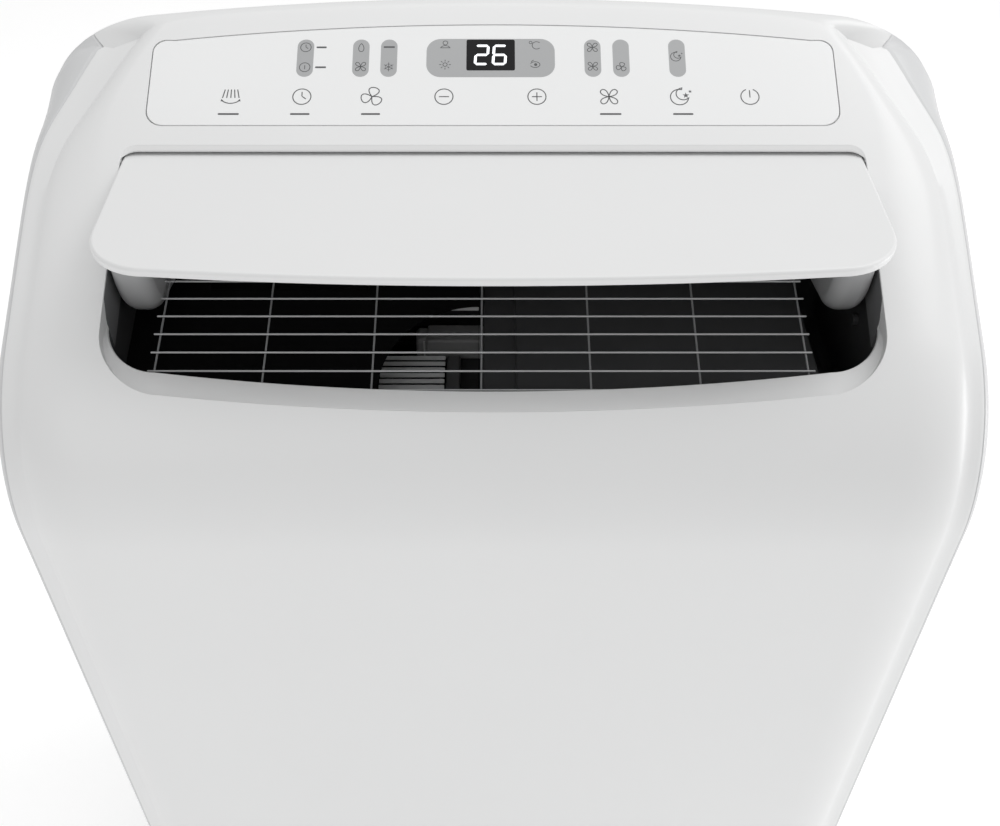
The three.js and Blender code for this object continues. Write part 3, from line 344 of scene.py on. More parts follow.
def rear_station(u, z):
    high = ease(560, 700, z)
    across, deep = lerp(45, 60, high), lerp(45, 42, high)
    drop = np.maximum(0, FOOT_Z - z) * 0.012
    if u <= 2:
        return (HALF_WIDTH - across) * u / 2, 0 * high
    a = (u - 2) / 6 * pi / 2
    return HALF_WIDTH - across + across * sin(a) - drop * (u - 2) / 6, deep * (1 - cos(a))


def casing(thick, foot_z):
    """The closed casing whose faces lie `thick` inside the outer surface."""
    squeeze = (HALF_WIDTH - thick) / HALF_WIDTH
    grid = np.zeros((len(ROWS), len(STATIONS), 3))
    for r, row in enumerate(ROWS):
        _, z0, t0, side = row_at(row, 0)
        for k, u in enumerate(STATIONS):
            x_rear, deep = rear_station(u, z0)
            depth = lerp(front_station(u, t0)[1] + BEND_TRIM * (1 - ease(20, 95, t0)), deep, side)
            y, z, t, _ = row_at(row, depth + thick)
            x = lerp(front_station(u, t)[0], x_rear, side) * squeeze
            arch = 1 - ease(30, BACK_Y, y) if side > 0 else ease(130, 200, t)
            fall = ARCH * (x / ARCH_X) ** 2 * arch
            grid[r, k] = (x, y - fall * cos(SLOPE), z - fall * sin(SLOPE))
    grid[0, :, 2] = grid[-1, :, 2] = foot_z
    mirror = grid[:, :0:-1] * (-1, 1, 1)
    full = np.concatenate([mirror, grid], axis=1)
    rows, cols = full.shape[:2]
    verts = full.reshape(-1, 3)
    faces = [(r * cols + k, r * cols + k + 1, ((r + 1) % rows) * cols + k + 1, ((r + 1) % rows) * cols + k)
             for r in range(rows) for k in range(cols - 1)]
    top = int(np.argmax(full[:, -1, 2]))
    for col in (0, cols - 1):  # the flat side walls, as rungs between the front edge and the back edge
        up, down = ([r * cols + col for r in edge] for edge in (range(top + 1), range(rows - 1, top, -1)))
        while len(up) + len(down) > 2:
            rise = len(down) == 1 or (len(up) > 1 and verts[up[1]][2] <= verts[down[1]][2])
            edge = up if rise else down
            faces.append((up[0], down[0], edge[1]))
            del edge[0]
    return mesh_object(verts, faces)


def front_zone(depth, part_y):
    """The side-view band that the front cover takes."""
    line = []
    for row in ROWS:
        y, z, _, side = row_at(row, depth)
        if side < 1 and y < part_y:
            line.append((float(y), float(z)))
    line[0] = (line[0][0], 0.0)
    top = line[-1][1]
    return side_slab(line + [(part_y, top), (part_y, top + FAR), (-FAR, top + FAR), (-FAR, 0)], -FAR, FAR)


# ---- outlines on the sloping face, as (x, t)
def outlet_outline(o, grow=0.0):
    half, top = o.half + grow, o.top + grow
    foot_x, r, cr = o.half - o.low_r, o.low_r + grow, o.top_r

    def low(x):
        return o.bottom - grow + o.arch * (x / foot_x) ** 2

    foot_t = low(foot_x) + r
    pts = quarter(foot_x, foot_t, r, -pi / 2, 14)
    pts += [(half, lerp(foot_t, top - cr, s)) for s in (0.25, 0.5, 0.75)]
    pts += quarter(half - cr, top - cr, cr, 0, 7)
    pts += [(lerp(half - cr, -half + cr, s), top) for s in np.linspace(0, 1, 12)[1:-1]]
    pts += quarter(-half + cr, top - cr, cr, pi / 2, 7)
    pts += [(-half, lerp(top - cr, foot_t, s)) for s in (0.25, 0.5, 0.75)]
    pts += quarter(-foot_x, foot_t, r, pi, 14)
    return pts + [(s * foot_x, low(s * foot_x)) for s in np.linspace(-1, 1, 32)[1:-1]]


def panel_outline(grow=0.0):
    half, r, top_r = PANEL.half + grow, PANEL.r, PANEL.top_r
    low, side, crown = PANEL.bottom - grow, PANEL.side + grow, PANEL.crown + grow
    shoulder = side - top_r + 0.4
    pts = quarter(half - r, low + r, r, -pi / 2, 9) + quarter(half - top_r, shoulder, top_r, 0, 9)
    reach = half - top_r - 1.5
    pts += [(s * reach, crown - (crown - side) * s * s) for s in np.linspace(0.985, -0.985, 34)]
    return (pts + quarter(-half + top_r, shoulder, top_r, pi / 2, 9)
            + quarter(-half + r, low + r, r, pi, 9))


def face_drop(t):
    ahead = np.maximum(0, BEND_T - np.asarray(t, float))
    return BEND_R - np.sqrt(BEND_R ** 2 - ahead ** 2) + BEND_TRIM * (1 - ease(20, 95, t))


def tilted(origin, angle):
    return Matrix.Translation(origin) @ Matrix.Rotation(angle, 4, "X")


ON_SLOPE, ON_GUARD = tilted((0, FOOT_Y, FOOT_Z), SLOPE), tilted(GUARD_FOOT, GUARD_TILT)
OPENED = ON_SLOPE @ tilted((0, PIVOT_T, PIVOT_N), -FLAP_OPEN) @ Matrix.Translation((0, -PIVOT_T, -PIVOT_N))


def lift(outline, n):
    return [(x, t, n) for x, t in outline]


def plate(outline, n0, n1):
    return ring_skin([lift(outline, n0), lift(outline, n1)])


# ---- finishing
def corner_normals(mesh):
    n = np.zeros(len(mesh.loops) * 3, np.float32)
    mesh.corner_normals.foreach_get("vector", n)
    return n.reshape(-1, 3)


class Reference:
    """A smooth surface whose shading normals a cut piece takes over."""

    def __init__(self, obj, crease):
        for p in obj.data.polygons:
            p.use_smooth = True
        obj.data.set_sharp_from_angle(angle=radians(crease))
        normals = corner_normals(obj.data)
        obj.data.calc_loop_triangles()
        self.co = [v.co.copy() for v in obj.data.vertices]
        self.tris = [tuple(tri.vertices) for tri in obj.data.loop_triangles]
        self.corner = [normals[list(tri.loops)] for tri in obj.data.loop_triangles]
        self.tree = BVHTree.FromPolygons(self.co, self.tris)
        bpy.data.objects.remove(obj)

    def normal(self, point, face_normal):
        near, face_normal_here, index, gap = self.tree.find_nearest(point)
        if near is None or gap > 0.06 or face_normal_here.dot(face_normal) < 0.93:
            return None
        a, b, c = (self.co[i] for i in self.tris[index])
        v0, v1, v2 = b - a, c - a, near - a
        d00, d01, d11, d20, d21 = v0.dot(v0), v0.dot(v1), v1.dot(v1), v2.dot(v0), v2.dot(v1)
        det = d00 * d11 - d01 * d01
        if abs(det) < 1e-12:
            return None
        v, w = (d11 * d20 - d01 * d21) / det, (d00 * d21 - d01 * d20) / det
        n = self.corner[index]
        return Vector(n[0] * (1 - v - w) + n[1] * v + n[2] * w).normalized()


def shade(obj, angle, references):
    mesh = obj.data
    for p in mesh.polygons:
        p.use_smooth = True
    mesh.set_sharp_from_angle(angle=radians(angle))
    modifier = obj.modifiers.new("normals", "WEIGHTED_NORMAL")
    modifier.keep_sharp, modifier.weight = True, 80
    mesh = bake(obj).data
    if references:
        normals = corner_normals(mesh)
        for p in mesh.polygons:
            for ref in references:
                if ref.normal(p.center, p.normal) is None:
                    continue
                for li in p.loop_indices:
                    at = mesh.vertices[mesh.loops[li].vertex_index].co
                    away = p.center - at
                    probe = at + away.normalized() * min(0.04, away.length * 0.3)
                    n = ref.normal(probe, p.normal)
                    if n is not None:
                        normals[li] = n
                break
        mesh.normals_split_custom_set([tuple(n) for n in normals])
    return obj


def finish(obj, name, material, *nodes, body="cabinet", angle=32.0, references=(), smooth=True):
    """Names a piece, scales it to metres, gives it its material and ties it to its CAD body."""
    if smooth:
        shade(obj, angle, references)
    else:
        for p in obj.data.polygons:
            p.use_smooth = False
    obj.name = obj.data.name = name
    obj.data.transform(Matrix.Scale(0.001, 4))
    obj.data.materials.clear()
    obj.data.materials.append(material)
    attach(obj, body)
    if nodes:
        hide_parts(*nodes)
    return obj


class Surface:
    """A material in the making: its nodes are added, linked and set by short calls."""

    def __init__(self, name, slot=None):
        self.material = bpy.data.materials.new(name)
        self.material.use_nodes = True
        self.tree = self.material.node_tree

    def node(self, kind, links=None, **values):
        """A node with its properties and socket values set, and links {socket: output}."""
        made = self.tree.nodes.new(kind)
        for key, value in values.items():
            if hasattr(made, key):
                setattr(made, key, value)
            else:
                made.inputs[key.replace("_", " ")].default_value = value
        for key, output in (links or {}).items():
            self.tree.links.new(output, made.inputs[key])
        return made

    def pattern(self, kind, **values):
        """A texture laid out in the piece's own coordinates."""
        where = self.node("ShaderNodeTexCoord")
        return self.node(kind, {"Vector": where.outputs["Object"]}, **values)

    def noise(self, scale, detail=3.0, stretch=(1, 1, 1)):
        mapping = self.pattern("ShaderNodeMapping", Scale=stretch)
        made = self.node("ShaderNodeTexNoise", {"Vector": mapping.outputs["Vector"]}, Scale=scale,
                         Detail=detail)
        return made.outputs["Fac"]

    def ramp(self, fac, low, high, start=0.3, end=0.7):
        made = self.node("ShaderNodeValToRGB", {"Fac": fac})
        for stop, position, color in zip(made.color_ramp.elements, (start, end), (low, high)):
            stop.position, stop.color = position, (*color, 1)
        return made.outputs["Color"]

    def tones(self, fac, color, vary):
        c = np.array(color)
        return self.ramp(fac, tuple(c * (1 - vary)), tuple(np.minimum(1, c * (1 + vary))))

    def rough(self, scale, low, high, detail=3.0):
        """A roughness that wanders between two values."""
        fac = self.noise(scale, detail)
        made = self.node("ShaderNodeMapRange", {"Value": fac}, From_Min=0.3, From_Max=0.7, To_Min=low,
                         To_Max=high)
        return made.outputs["Result"]

    def done(self, color, rough, height=None, strength=0.0, distance=0.0, **sockets):
        shader = self.tree.nodes["Principled BSDF"]
        self.tree.links.new(color, shader.inputs["Base Color"])
        if height:
            relief = self.node("ShaderNodeBump", {"Height": height}, Strength=strength, Distance=distance)
            self.tree.links.new(relief.outputs["Normal"], shader.inputs["Normal"])
        if isinstance(rough, float):
            shader.inputs["Roughness"].default_value = rough
        else:
            self.tree.links.new(rough, shader.inputs["Roughness"])
        for key, value in sockets.items():
            shader.inputs[key.replace("_", " ")].default_value = value
        return self.material


def moulded(name, slot, color, rough, vary=0.02, grain=0.12, grain_scale=1400, coat=0.0, specular=0.5):
    """Moulded plastic: a faint uneven tone, a fine spark-eroded grain and a roughness that wanders."""
    s = Surface(name, slot)
    return s.done(s.tones(s.noise(9, 4), color, vary), s.rough(26, rough * 0.9, rough * 1.12, 5),
                  s.noise(grain_scale, 2), grain, 0.00006, Coat_Weight=coat, Coat_Roughness=0.12,
                  Specular_IOR_Level=specular)


def drawn_metal(name, color, rough, stretch, vary=0.06, slot=None):
    """Metal with fine drawing lines along one axis."""
    s = Surface(name, slot)
    lines = s.noise(160, 3, stretch)
    return s.done(s.tones(lines, color, vary), s.rough(40, rough * 0.8, rough * 1.25, 4), lines, 0.2, 0.00005,
                  Metallic=1.0)


def finned_metal(name):
    """Aluminium fin stock: narrow upright fins, with painted shade in the gaps between them."""
    s = Surface(name)
    fins = s.pattern("ShaderNodeTexWave", bands_direction="X", Scale=160, Distortion=0.4).outputs["Fac"]
    return s.done(s.ramp(fins, (0.16, 0.165, 0.17), (0.72, 0.73, 0.75), 0.2, 0.6), s.rough(50, 0.3, 0.5), fins,
                  0.8, 0.0006, Metallic=0.9)


def circuit(name):
    """Green solder mask over copper tracks."""
    s = Surface(name)
    tracks = s.pattern("ShaderNodeTexBrick", Color1=(0.02, 0.16, 0.07, 1), Color2=(0.025, 0.2, 0.09, 1),
                       Mortar=(0.06, 0.3, 0.14, 1), Scale=260.0, Mortar_Size=0.03)
    return s.done(tracks.outputs["Color"], s.rough(90, 0.3, 0.45), tracks.outputs["Fac"], 0.3, 0.00005)


def net_cloth(name, slot, color, gap, pitch):
    """A fine woven filter net: light threads, with painted shade in the gaps between them."""
    s = Surface(name, slot)
    threads = [s.pattern("ShaderNodeTexWave", bands_direction=way, Scale=31.4159 / pitch).outputs["Fac"]
               for way in ("X", "Z")]
    top = s.node("ShaderNodeMath", {0: threads[0], 1: threads[1]}, operation="MAXIMUM").outputs[0]
    return s.done(s.ramp(top, gap, color, 0.55, 0.85), s.rough(60, 0.5, 0.65), top, 0.6, 0.0003)


def lit_digits(name, slot):
    s = Surface(name, slot)
    return s.done(s.ramp(s.noise(300), (0.86, 0.89, 0.92), (0.95, 0.97, 1.0)), 0.3,
                  Emission_Color=(0.93, 0.97, 1.0, 1), Emission_Strength=0.75)


WHITE = moulded("white_gloss_plastic", "white_plastic", (0.80, 0.803, 0.803), 0.34, 0.004, 0.02, 1600,
                coat=0.1)
PANEL_WHITE = moulded("panel_film", "white_plastic", (0.83, 0.835, 0.835), 0.22, 0.006, 0.03, 1800, coat=0.2)
# the flap arms are light plastic; this darker grey is painted shade from the dark duct they sit in
ARM_PAINTED_SHADE = moulded("arm_plastic_painted_shade", "grey_plastic", (0.42, 0.423, 0.427), 0.4, 0.012, 0.08, 1500)
GREY = moulded("light_grey_plastic", "grey_plastic", (0.66, 0.665, 0.67), 0.36, 0.012, 0.08, 1500)
REAR_GREY = moulded("rear_grey_plastic", "grey_plastic", (0.66, 0.665, 0.67), 0.44, 0.015, 0.25, 1100)
DARK = moulded("dark_grey_plastic", "dark_plastic", (0.030, 0.031, 0.033), 0.5, 0.12, 0.3, 900, specular=0.3)
DUCT_DARK = moulded("duct_dark_plastic", "dark_plastic", (0.052, 0.0525, 0.054), 0.55, 0.12, 0.25, 900,
                    specular=0.25)
# near-black sheet colour: painted shade for the deep, unlit void of the outlet
DUCT_PAINTED_SHADE = moulded("duct_painted_shade_sheet", "black_plastic", (0.006, 0.006, 0.0062), 0.75, 0.2, 0.3, 800,
                     specular=0.04)
# the opening's side walls are cover plastic; this dark grey is painted shade for their shadowed faces
EDGE_PAINTED_SHADE = moulded("recess_wall_painted_shade", "dark_plastic", (0.15, 0.151, 0.154), 0.5, 0.08, 0.2, 900,
                    specular=0.3)
GUIDE_DARK = moulded("louvre_guide_plastic", "dark_plastic", (0.16, 0.161, 0.163), 0.5, 0.08, 0.2, 900,
                     specular=0.3)
BLACK = moulded("black_plastic", "black_plastic", (0.012, 0.012, 0.013), 0.55, 0.15, 0.25, 900, specular=0.3)
WARM_GREY = moulded("inner_grey_plastic", "dark_plastic", (0.42, 0.42, 0.424), 0.5, 0.05, 0.2, 1000,
                    specular=0.3)
NYLON = moulded("nylon", None, (0.55, 0.56, 0.57), 0.55, 0.03, 0.3, 900)
RUBBER = moulded("rubber", "rubber", (0.022, 0.022, 0.023), 0.78, 0.2, 0.6, 700, specular=0.25)
ENAMEL = moulded("black_enamel", None, (0.016, 0.016, 0.018), 0.32, 0.15, 0.2, 500, coat=0.2)
PAINT = moulded("print_ink_dark", "dark_plastic", (0.085, 0.087, 0.09), 0.45, 0.05, 0.1, 1500)
PILL = moulded("print_ink_grey", "grey_plastic", (0.40, 0.405, 0.41), 0.4, 0.02, 0.1, 1500)
GLASS = moulded("display_window", "black_plastic", (0.006, 0.006, 0.007), 0.25, 0.1, 0.0, 1500, specular=0.12)
BOARD = circuit("solder_mask")
STEEL = drawn_metal("zinc_steel", (0.58, 0.59, 0.61), 0.36, (1, 1, 12))
AXLE_STEEL = drawn_metal("bright_steel", (0.74, 0.75, 0.76), 0.2, (12, 1, 1), slot="axle_steel")
WIRE = moulded("coated_wire", "grey_plastic", (0.55, 0.555, 0.56), 0.34, 0.04, 0.2, 900, specular=0.6)
# a darker copy of the wire colour: painted shade for the long wires, which lie behind and below the cross wires
WIRE_PAINTED_SHADE = moulded("coated_wire_painted_shade", "grey_plastic", (0.26, 0.263, 0.267), 0.4, 0.04, 0.2, 900)
ALUMINIUM = finned_metal("fin_stock")
CAN_METAL = drawn_metal("aluminium_can", (0.7, 0.71, 0.73), 0.34, (1, 1, 10))
COPPER = drawn_metal("copper_tube", (0.72, 0.40, 0.25), 0.28, (3, 3, 3), 0.12)
NET = net_cloth("filter_net", "grey_plastic", (0.20, 0.205, 0.21), (0.02, 0.02, 0.021), 1.3)
DIGITS = lit_digits("lit_digits", "white_plastic")

# ---- casings
outer = casing(0, SKIRT_Z)
inner = casing(WALL, SKIRT_Z - 30)
shell = cut(copy_of(outer), copy_of(inner))
skin_normals = Reference(copy_of(outer), 24)


def recess_tool():
    """The flap's recess: an upright wall, a shelf running in to the opening, a chamfer along the top edge."""
    def ring(mix, grow, depth, follow=1.0, chamfer=0.0):
        wide, narrow = outlet_outline(RECESS, grow), outlet_outline(OPENING, grow)
        pts = [(lerp(a[0], b[0], mix), lerp(a[1], b[1], mix)) for a, b in zip(wide, narrow)]
        return [(x, t + chamfer * float(ease(122, 131, t)), depth(t) if callable(depth) else
                 depth - follow * float(face_drop(t))) for x, t in pts]

    def wall_foot(shift):
        return lambda t: shift - max(STEP, float(face_drop(t)) + 0.8)

    rings = [ring(0, 2.0, 22, 0, 2.9), ring(0, 0.35, 0.25, chamfer=2.9), ring(0, 0.14, -0.1, chamfer=2.75),
             ring(0, 0.03, -0.22, chamfer=2.4), ring(0, 0, -0.5, chamfer=1.1), ring(0, 0, -0.8, chamfer=0.2),
             ring(0, 0, -1.4),
             ring(0, 0, wall_foot(0.5)), ring(0.03, 0, wall_foot(0.1)), ring(0.08, 0, wall_foot(-0.1)),
             ring(0.94, 0, 0.25 - LEDGE, 0), ring(0.99, 0, -LEDGE, 0), ring(1, -0.15, -0.5 - LEDGE, 0),
             ring(1, -0.2, -1.2 - LEDGE, 0), ring(1, -0.2, -30, 0)]
    return place(ring_skin(rings), ON_SLOPE)


well = common(place(plate(outlet_outline(RECESS, 2.5), -LEDGE - 2, 15), ON_SLOPE), casing(WALL / 2, SKIRT_Z))
cover = common(copy_of(shell), front_zone(FRONT_PART, PART_Y))
pocket = place(plate(panel_outline(0.5), -PANEL.thick - 0.4, 15), ON_SLOPE)
holes = gather([rod("z", 5, 20, (x + PRINT_X, KEY_T, 0), 20) for x in KEY_X.values()]
               + [block(PRINT_X - 16, PRINT_X + 16, 178, 201, -20, 5)])
sweep = rod("x", FLAP_SWEEP, 2 * OPENING.half - 0.6, (0, PIVOT_T, PIVOT_N), 160)
cover = cut(join(cover, well), recess_tool(), pocket, place(holes, ON_SLOPE), place(sweep, ON_SLOPE))
finish(cover, "front_cover_skin", WHITE, "front_cover", references=(skin_normals,))
# thin strips along the opening's side walls, darkened with painted shade
strip = [(52, -0.9), (127, -0.9), (127, -24), (36.5, -24), (40.6, -13.5), (44.6, -7.2)]
edges = [place(ring_skin([[(sign * x, t, n) for t, n in strip] for x in (185.25, 187.6)]), ON_SLOPE)
         for sign in (-1, 1)]
finish(gather(edges), "outlet_duct_edges", EDGE_PAINTED_SHADE, smooth=False)

housing = cut(copy_of(shell), front_zone(FRONT_PART + SEAM, PART_Y + SEAM))


def side_zone(sign, grow):
    def span(x, z0, z1):
        return block(*sorted((sign * x, sign * FAR)), -FAR, REAR_PART_Y + grow, z0, z1)
    return join(span(150, 0, 640), span(TOP_PART_X - grow, 630, 900))


def grip_ring(x, grow):
    h = HANDLE
    return [(x, y, z) for y, z in rounded(h.y0 - grow, h.y1 + grow, h.z0 - grow, h.z1 + grow, 11)]


def side_panel(sign):
    w, deep = HANDLE.wall, HANDLE.depth
    cup = common(ring_skin([grip_ring(sign * (HALF_WIDTH - deep - w), w), grip_ring(sign * 262, w)]),
                 copy_of(outer))
    hollow = [(deep, -6), (deep - 0.8, -3), (deep - 3, -1.1), (deep - 7, -0.2), (deep - 12, 0)]
    hollow += [(4.5, 0), (2.6, 0.25), (1.2, 0.9), (0.4, 1.8), (0, 2.6), (-4, 6.0), (-20, 8)]
    grip = ring_skin([grip_ring(sign * (HALF_WIDTH - d), g) for d, g in hollow])
    panel = common(copy_of(housing), side_zone(sign, 0))
    return cut(join(panel, cup), grip)


for sign, side in ((-1, "left"), (1, "right")):
    finish(side_panel(sign), f"side_panel_{side}_skin", GREY, f"side_panel_{side}", references=(skin_normals,))


def window_tool(f):
    outline = f.x0 - FILTER_GAP, f.x1 + FILTER_GAP, f.z0 - FILTER_GAP, f.z1 + FILTER_GAP
    return ring_skin([[(x, BACK_Y + y, z) for x, z in rounded(*outline, 3.5, 5, -g)]
                      for y, g in ((-20, 0), (-1.1, 0), (-0.5, 0.15), (0, 0.7), (1, 1.7))])


def rear_cover():
    back = cut(copy_of(housing), side_zone(1, SEAM), side_zone(-1, SEAM))
    bores = [(COLLAR.x, COLLAR.z, COLLAR.outer + 1, 96), (GLAND_X, GLAND_Z, 9, 32)]
    bores += [(x, z, 10, 40) for x, z in DRAINS.values()]
    edge = [(0, -20), (0, -1.0), (0.15, -0.45), (0.8, 0.1), (2, 1.5)]
    tools = [turned("y", [(r + out, h) for out, h in edge], (x, BACK_Y, z), n) for x, z, r, n in bores]
    return cut(back, window_tool(UPPER_FILTER), window_tool(LOWER_FILTER), *tools)


finish(rear_cover(), "rear_cover_skin", REAR_GREY, "rear_cover", references=(skin_normals,))

# ---- control panel
overlay_rings = [(0.0, -PANEL.thick), (0.0, -0.22), (0.06, -0.08), (0.22, 0.0)]
overlay = ring_skin([lift(panel_outline(-g), n) for g, n in overlay_rings])
finish(place(overlay, ON_SLOPE), "control_overlay_film", PANEL_WHITE, "control_overlay", angle=40)

INK_LOW, INK_HIGH = -0.25, 0.05


def ribbon(points, width, closed=False):
    """A printed line of constant width through (x, t) points."""
    p = np.array(points, float)
    ahead = np.roll(p, -1, 0) - p
    if not closed:
        ahead[-1] = ahead[-2]
    behind = np.roll(ahead, 1, 0)
    if not closed:
        behind[0] = ahead[0]

    def unit(v):
        return v / np.maximum(1e-9, np.linalg.norm(v, axis=1))[:, None]
    a, b = unit(ahead), unit(behind)
    mean = unit(a + b)
    side = np.stack([-mean[:, 1], mean[:, 0]], 1)
    stretch = 1 / np.maximum(0.5, (mean * a).sum(1))
    offset = side * (width / 2 * stretch)[:, None]
    left, right = p + offset, p - offset
    rings = [[(*a, INK_LOW), (*a, INK_HIGH), (*b, INK_HIGH), (*b, INK_LOW)] for a, b in zip(left, right)]
    return ring_skin(rings, closed_path=closed)


def blob(points, high=INK_HIGH, low=INK_LOW):
    return plate(points, low, high)


def arc(cx, ct, r, a0=0, a1=360, steps=None, rt=None):
    steps = steps or max(6, int(abs(a1 - a0) / 12))
    full = abs(a1 - a0) >= 360
    angles = np.radians(np.linspace(a0, a1, steps + (0 if full else 1), endpoint=not full))
    return [(cx + r * cos(a), ct + (rt or r) * sin(a)) for a in angles]


def petals(cx, ct, r, count, width, turn, fat):
    """Closed loops round a middle, like a fan seen from the front."""
    made = []
    for k in range(count):
        axis = radians(turn + 360 * k / count)
        loop = []
        for a in np.linspace(0, 2 * pi, 22, endpoint=False):
            along, across = r * (0.5 - 0.5 * cos(a)), r * fat * sin(a) * sin(a / 2)
            loop.append((cx + along * cos(axis) - across * sin(axis),
                         ct + along * sin(axis) + across * cos(axis)))
        made.append(ribbon(loop, width, closed=True))
    return made


def icon(name, cx, ct, r, w):
    """One printed symbol, drawn in units of its radius r round (cx, ct), with strokes w wide."""
    def at(points):
        return [(cx + r * x, ct + r * t) for x, t in points]

    def line(*points, wide=1.0):
        return ribbon(at(points), w * wide)

    def spoke(degrees, *points, wide=1.0):
        c, s = cos(radians(degrees)), sin(radians(degrees))
        return line(*[(c * x - s * t, s * x + c * t) for x, t in points], wide=wide)

    def ring(x=0.0, t=0.0, k=1.0, a0=0, a1=360, tall=None, closed=True, wide=1.0):
        return ribbon(arc(cx + r * x, ct + r * t, r * k, a0, a1, rt=r * (tall or k)), w * wide, closed)

    def star(x, t, k):
        return blob(at([(x + k * size * cos(a), t + k * size * sin(a))
                        for size, a in [((1, 0.42)[i % 2], radians(90 + 36 * i)) for i in range(10)]]))

    def moon(x, t, k):
        inner_edge = arc(x + 0.42 * k, t + 0.42 * k, 0.78 * k, 322, 98, 14)
        return ribbon(at(arc(x, t, k, 75, 345) + inner_edge), w, True)

    def fan(k, count, turn, fat):
        return petals(cx, ct, r * k, count, w, turn, fat)

    return {
        "swing": lambda: [line((k * 0.42, 0.85), (k * 0.56, -0.15)) for k in (-1.5, -0.75, 0, 0.75, 1.5)]
        + [ring(0, 0.55, 1.35, 228, 312, closed=False)]
        + [blob(at([(side * 0.95, -0.27), (side, -0.57), (side * 0.73, -0.49)][::side])) for side in (-1, 1)],
        "timer": lambda: [ring(), line((0, 0.1), (0, 0.62)), line((0, 0.05), (0.45, -0.3))],
        "off": lambda: [ring(), line((0, -0.45), (0, 0.45))],
        "mode": lambda: fan(1.12, 3, 75, 0.62),
        "speed": lambda: fan(1.1, 4, 45, 0.36),
        "minus": lambda: [ring(), line((-0.55, 0), (0.55, 0))],
        "plus": lambda: [ring(), line((-0.55, 0), (0.55, 0)), line((0, -0.55), (0, 0.55))],
        "sleep": lambda: [moon(-0.15, -0.05, 0.92), star(0.5, 0.15, 0.34), star(0.95, 0.62, 0.2)],
        "power": lambda: [ring(a0=112, a1=428, closed=False), line((0, -0.1), (0, 0.85))],
        "drop": lambda: [ribbon(at([(0.62 * sin(a) * sin(a / 2) ** 0.6, 0.95 * cos(a))
                                    for a in np.linspace(0.02, 2 * pi - 0.02, 22)]), w, True)],
        "flake": lambda: [piece for a in (30, 90, 150) for piece in
                          [spoke(a, (-1, 0), (1, 0), wide=0.8)]
                          + [spoke(a, (side, 0.28), (side, -0.28), wide=0.7) for side in (-0.62, 0.62)]],
        "person": lambda: [ring(0, 0.45, 0.42), ring(0, -0.75, 0.85, 15, 165, 0.62)],
        "sun": lambda: [ring(k=0.36)] + [spoke(a, (0.62, 0), (1, 0)) for a in range(0, 360, 45)],
        "degree": lambda: [ring(-0.75, 0.6, 0.26, wide=0.9), ring(0.3, 0, 0.78, 45, 315, closed=False)],
        "gauge": lambda: [ring(k=0.85, a0=200, a1=520, tall=0.6, closed=False),
                          blob(at(arc(0.1, 0, 0.3, steps=14))), line((-0.7, 0.6), (-0.25, 0.95))],
    }[name]()


def pill(cx, half_w, t0, t1, r):
    return rounded(cx - half_w, cx + half_w, t0, t1, r)


def printed(name, pieces, material):
    finish(place(gather(pieces), ON_SLOPE), name, material, smooth=False)


pills = [pill(x, 4.25, 176.2, 199.0, 4.2) for x in (-96.5, -67.9, -53.5, 51.2, 65.8, 94.6)]
printed("panel_grey_fields", [blob(p, 0.03) for p in pills + [pill(PRINT_X, 33, 176.0, 199.4, 7.5)]], PILL)

KEY_MARKS = dict(swing=-133, timer=-97, mode=-61.4, minus=-24.9, plus=22.3, speed=58.9, sleep=95.4, power=130.4)
KEY_BARS = ((-133.6, 5.3), (-97.5, 4.9), (-61.8, 4.8), (59.4, 5.4), (96.0, 5.1))
FIELD_MARKS = (("timer", -96.5, 194.2, 2.7), ("off", -96.5, 182.0, 2.7), ("drop", -67.9, 194.0, 2.6),
               ("speed", -67.9, 182.4, 3.0), ("flake", -53.5, 182.2, 2.7), ("speed", 51.2, 194.2, 3.0),
               ("speed", 51.2, 182.6, 2.8), ("mode", 65.8, 182.2, 2.4), ("sleep", 94.4, 188.6, 2.9),
               ("person", -24.6, 195.6, 2.9), ("sun", -24.6, 183.6, 3.0), ("degree", 21.6, 195.4, 2.9),
               ("gauge", 21.6, 183.6, 2.9))
FIELD_BARS = ((-53.5, 194.35, 2.9), (-88.4, 194.2, 2.6), (-88.4, 182.0, 2.8))
marks = []
for name, x in KEY_MARKS.items():
    marks += icon(name, x, KEY_T + 0.3, 4.6 if name in ("minus", "plus", "timer", "power") else 5.0, 0.52)
for name, x, t, r in FIELD_MARKS:
    marks += icon(name, x, t, r, 0.4)
for x, t, half_w in [(x, 154, half_w) for x, half_w in KEY_BARS] + list(FIELD_BARS):
    marks.append(blob(pill(x, half_w, t - 0.5, t + 0.5, 0.4)))
printed("panel_marks", marks, PAINT)

window = ring_skin([lift(pill(PRINT_X, 12.5 - g, DISPLAY_T - 9.5 + g, DISPLAY_T + 9.5 - g, 1.0), n)
                              for g, n in ((0, -0.25), (0, 0.02), (0.12, 0.07), (0.4, 0.08))])
finish(place(window, ON_SLOPE), "display_window", GLASS)

SEGMENTS = {"2": "abged", "6": "afgedc"}


def digit(char, cx, ct):
    half_w, half_h, h, gap, lean = 3.1, 5.6, 0.675, 0.12, 0.06

    def bar(ax, at, bx, bt):
        length = hypot(bx - ax, bt - at)
        ux, ut = (bx - ax) / length, (bt - at) / length
        end = length - gap
        outline = (gap, 0), (h + gap, h), (end - h, h), (end, 0), (end - h, -h), (h + gap, -h)
        pts = [(ax + ux * u - ut * v, at + ut * u + ux * v) for u, v in outline]
        return blob([(x + (t - ct) * lean, t) for x, t in pts], 0.12, -0.1)

    l, r, lo, hi = cx - half_w, cx + half_w, ct - half_h, ct + half_h
    spots = dict(a=(l, hi, r, hi), b=(r, hi, r, ct), c=(r, ct, r, lo), d=(l, lo, r, lo), e=(l, ct, l, lo),
                 f=(l, hi, l, ct), g=(l, ct, r, ct))
    return [bar(*spots[s]) for s in SEGMENTS[char]]


digits = digit("2", PRINT_X - 4.6, DISPLAY_T) + digit("6", PRINT_X + 4.6, DISPLAY_T)
printed("display_digits", digits, DIGITS)

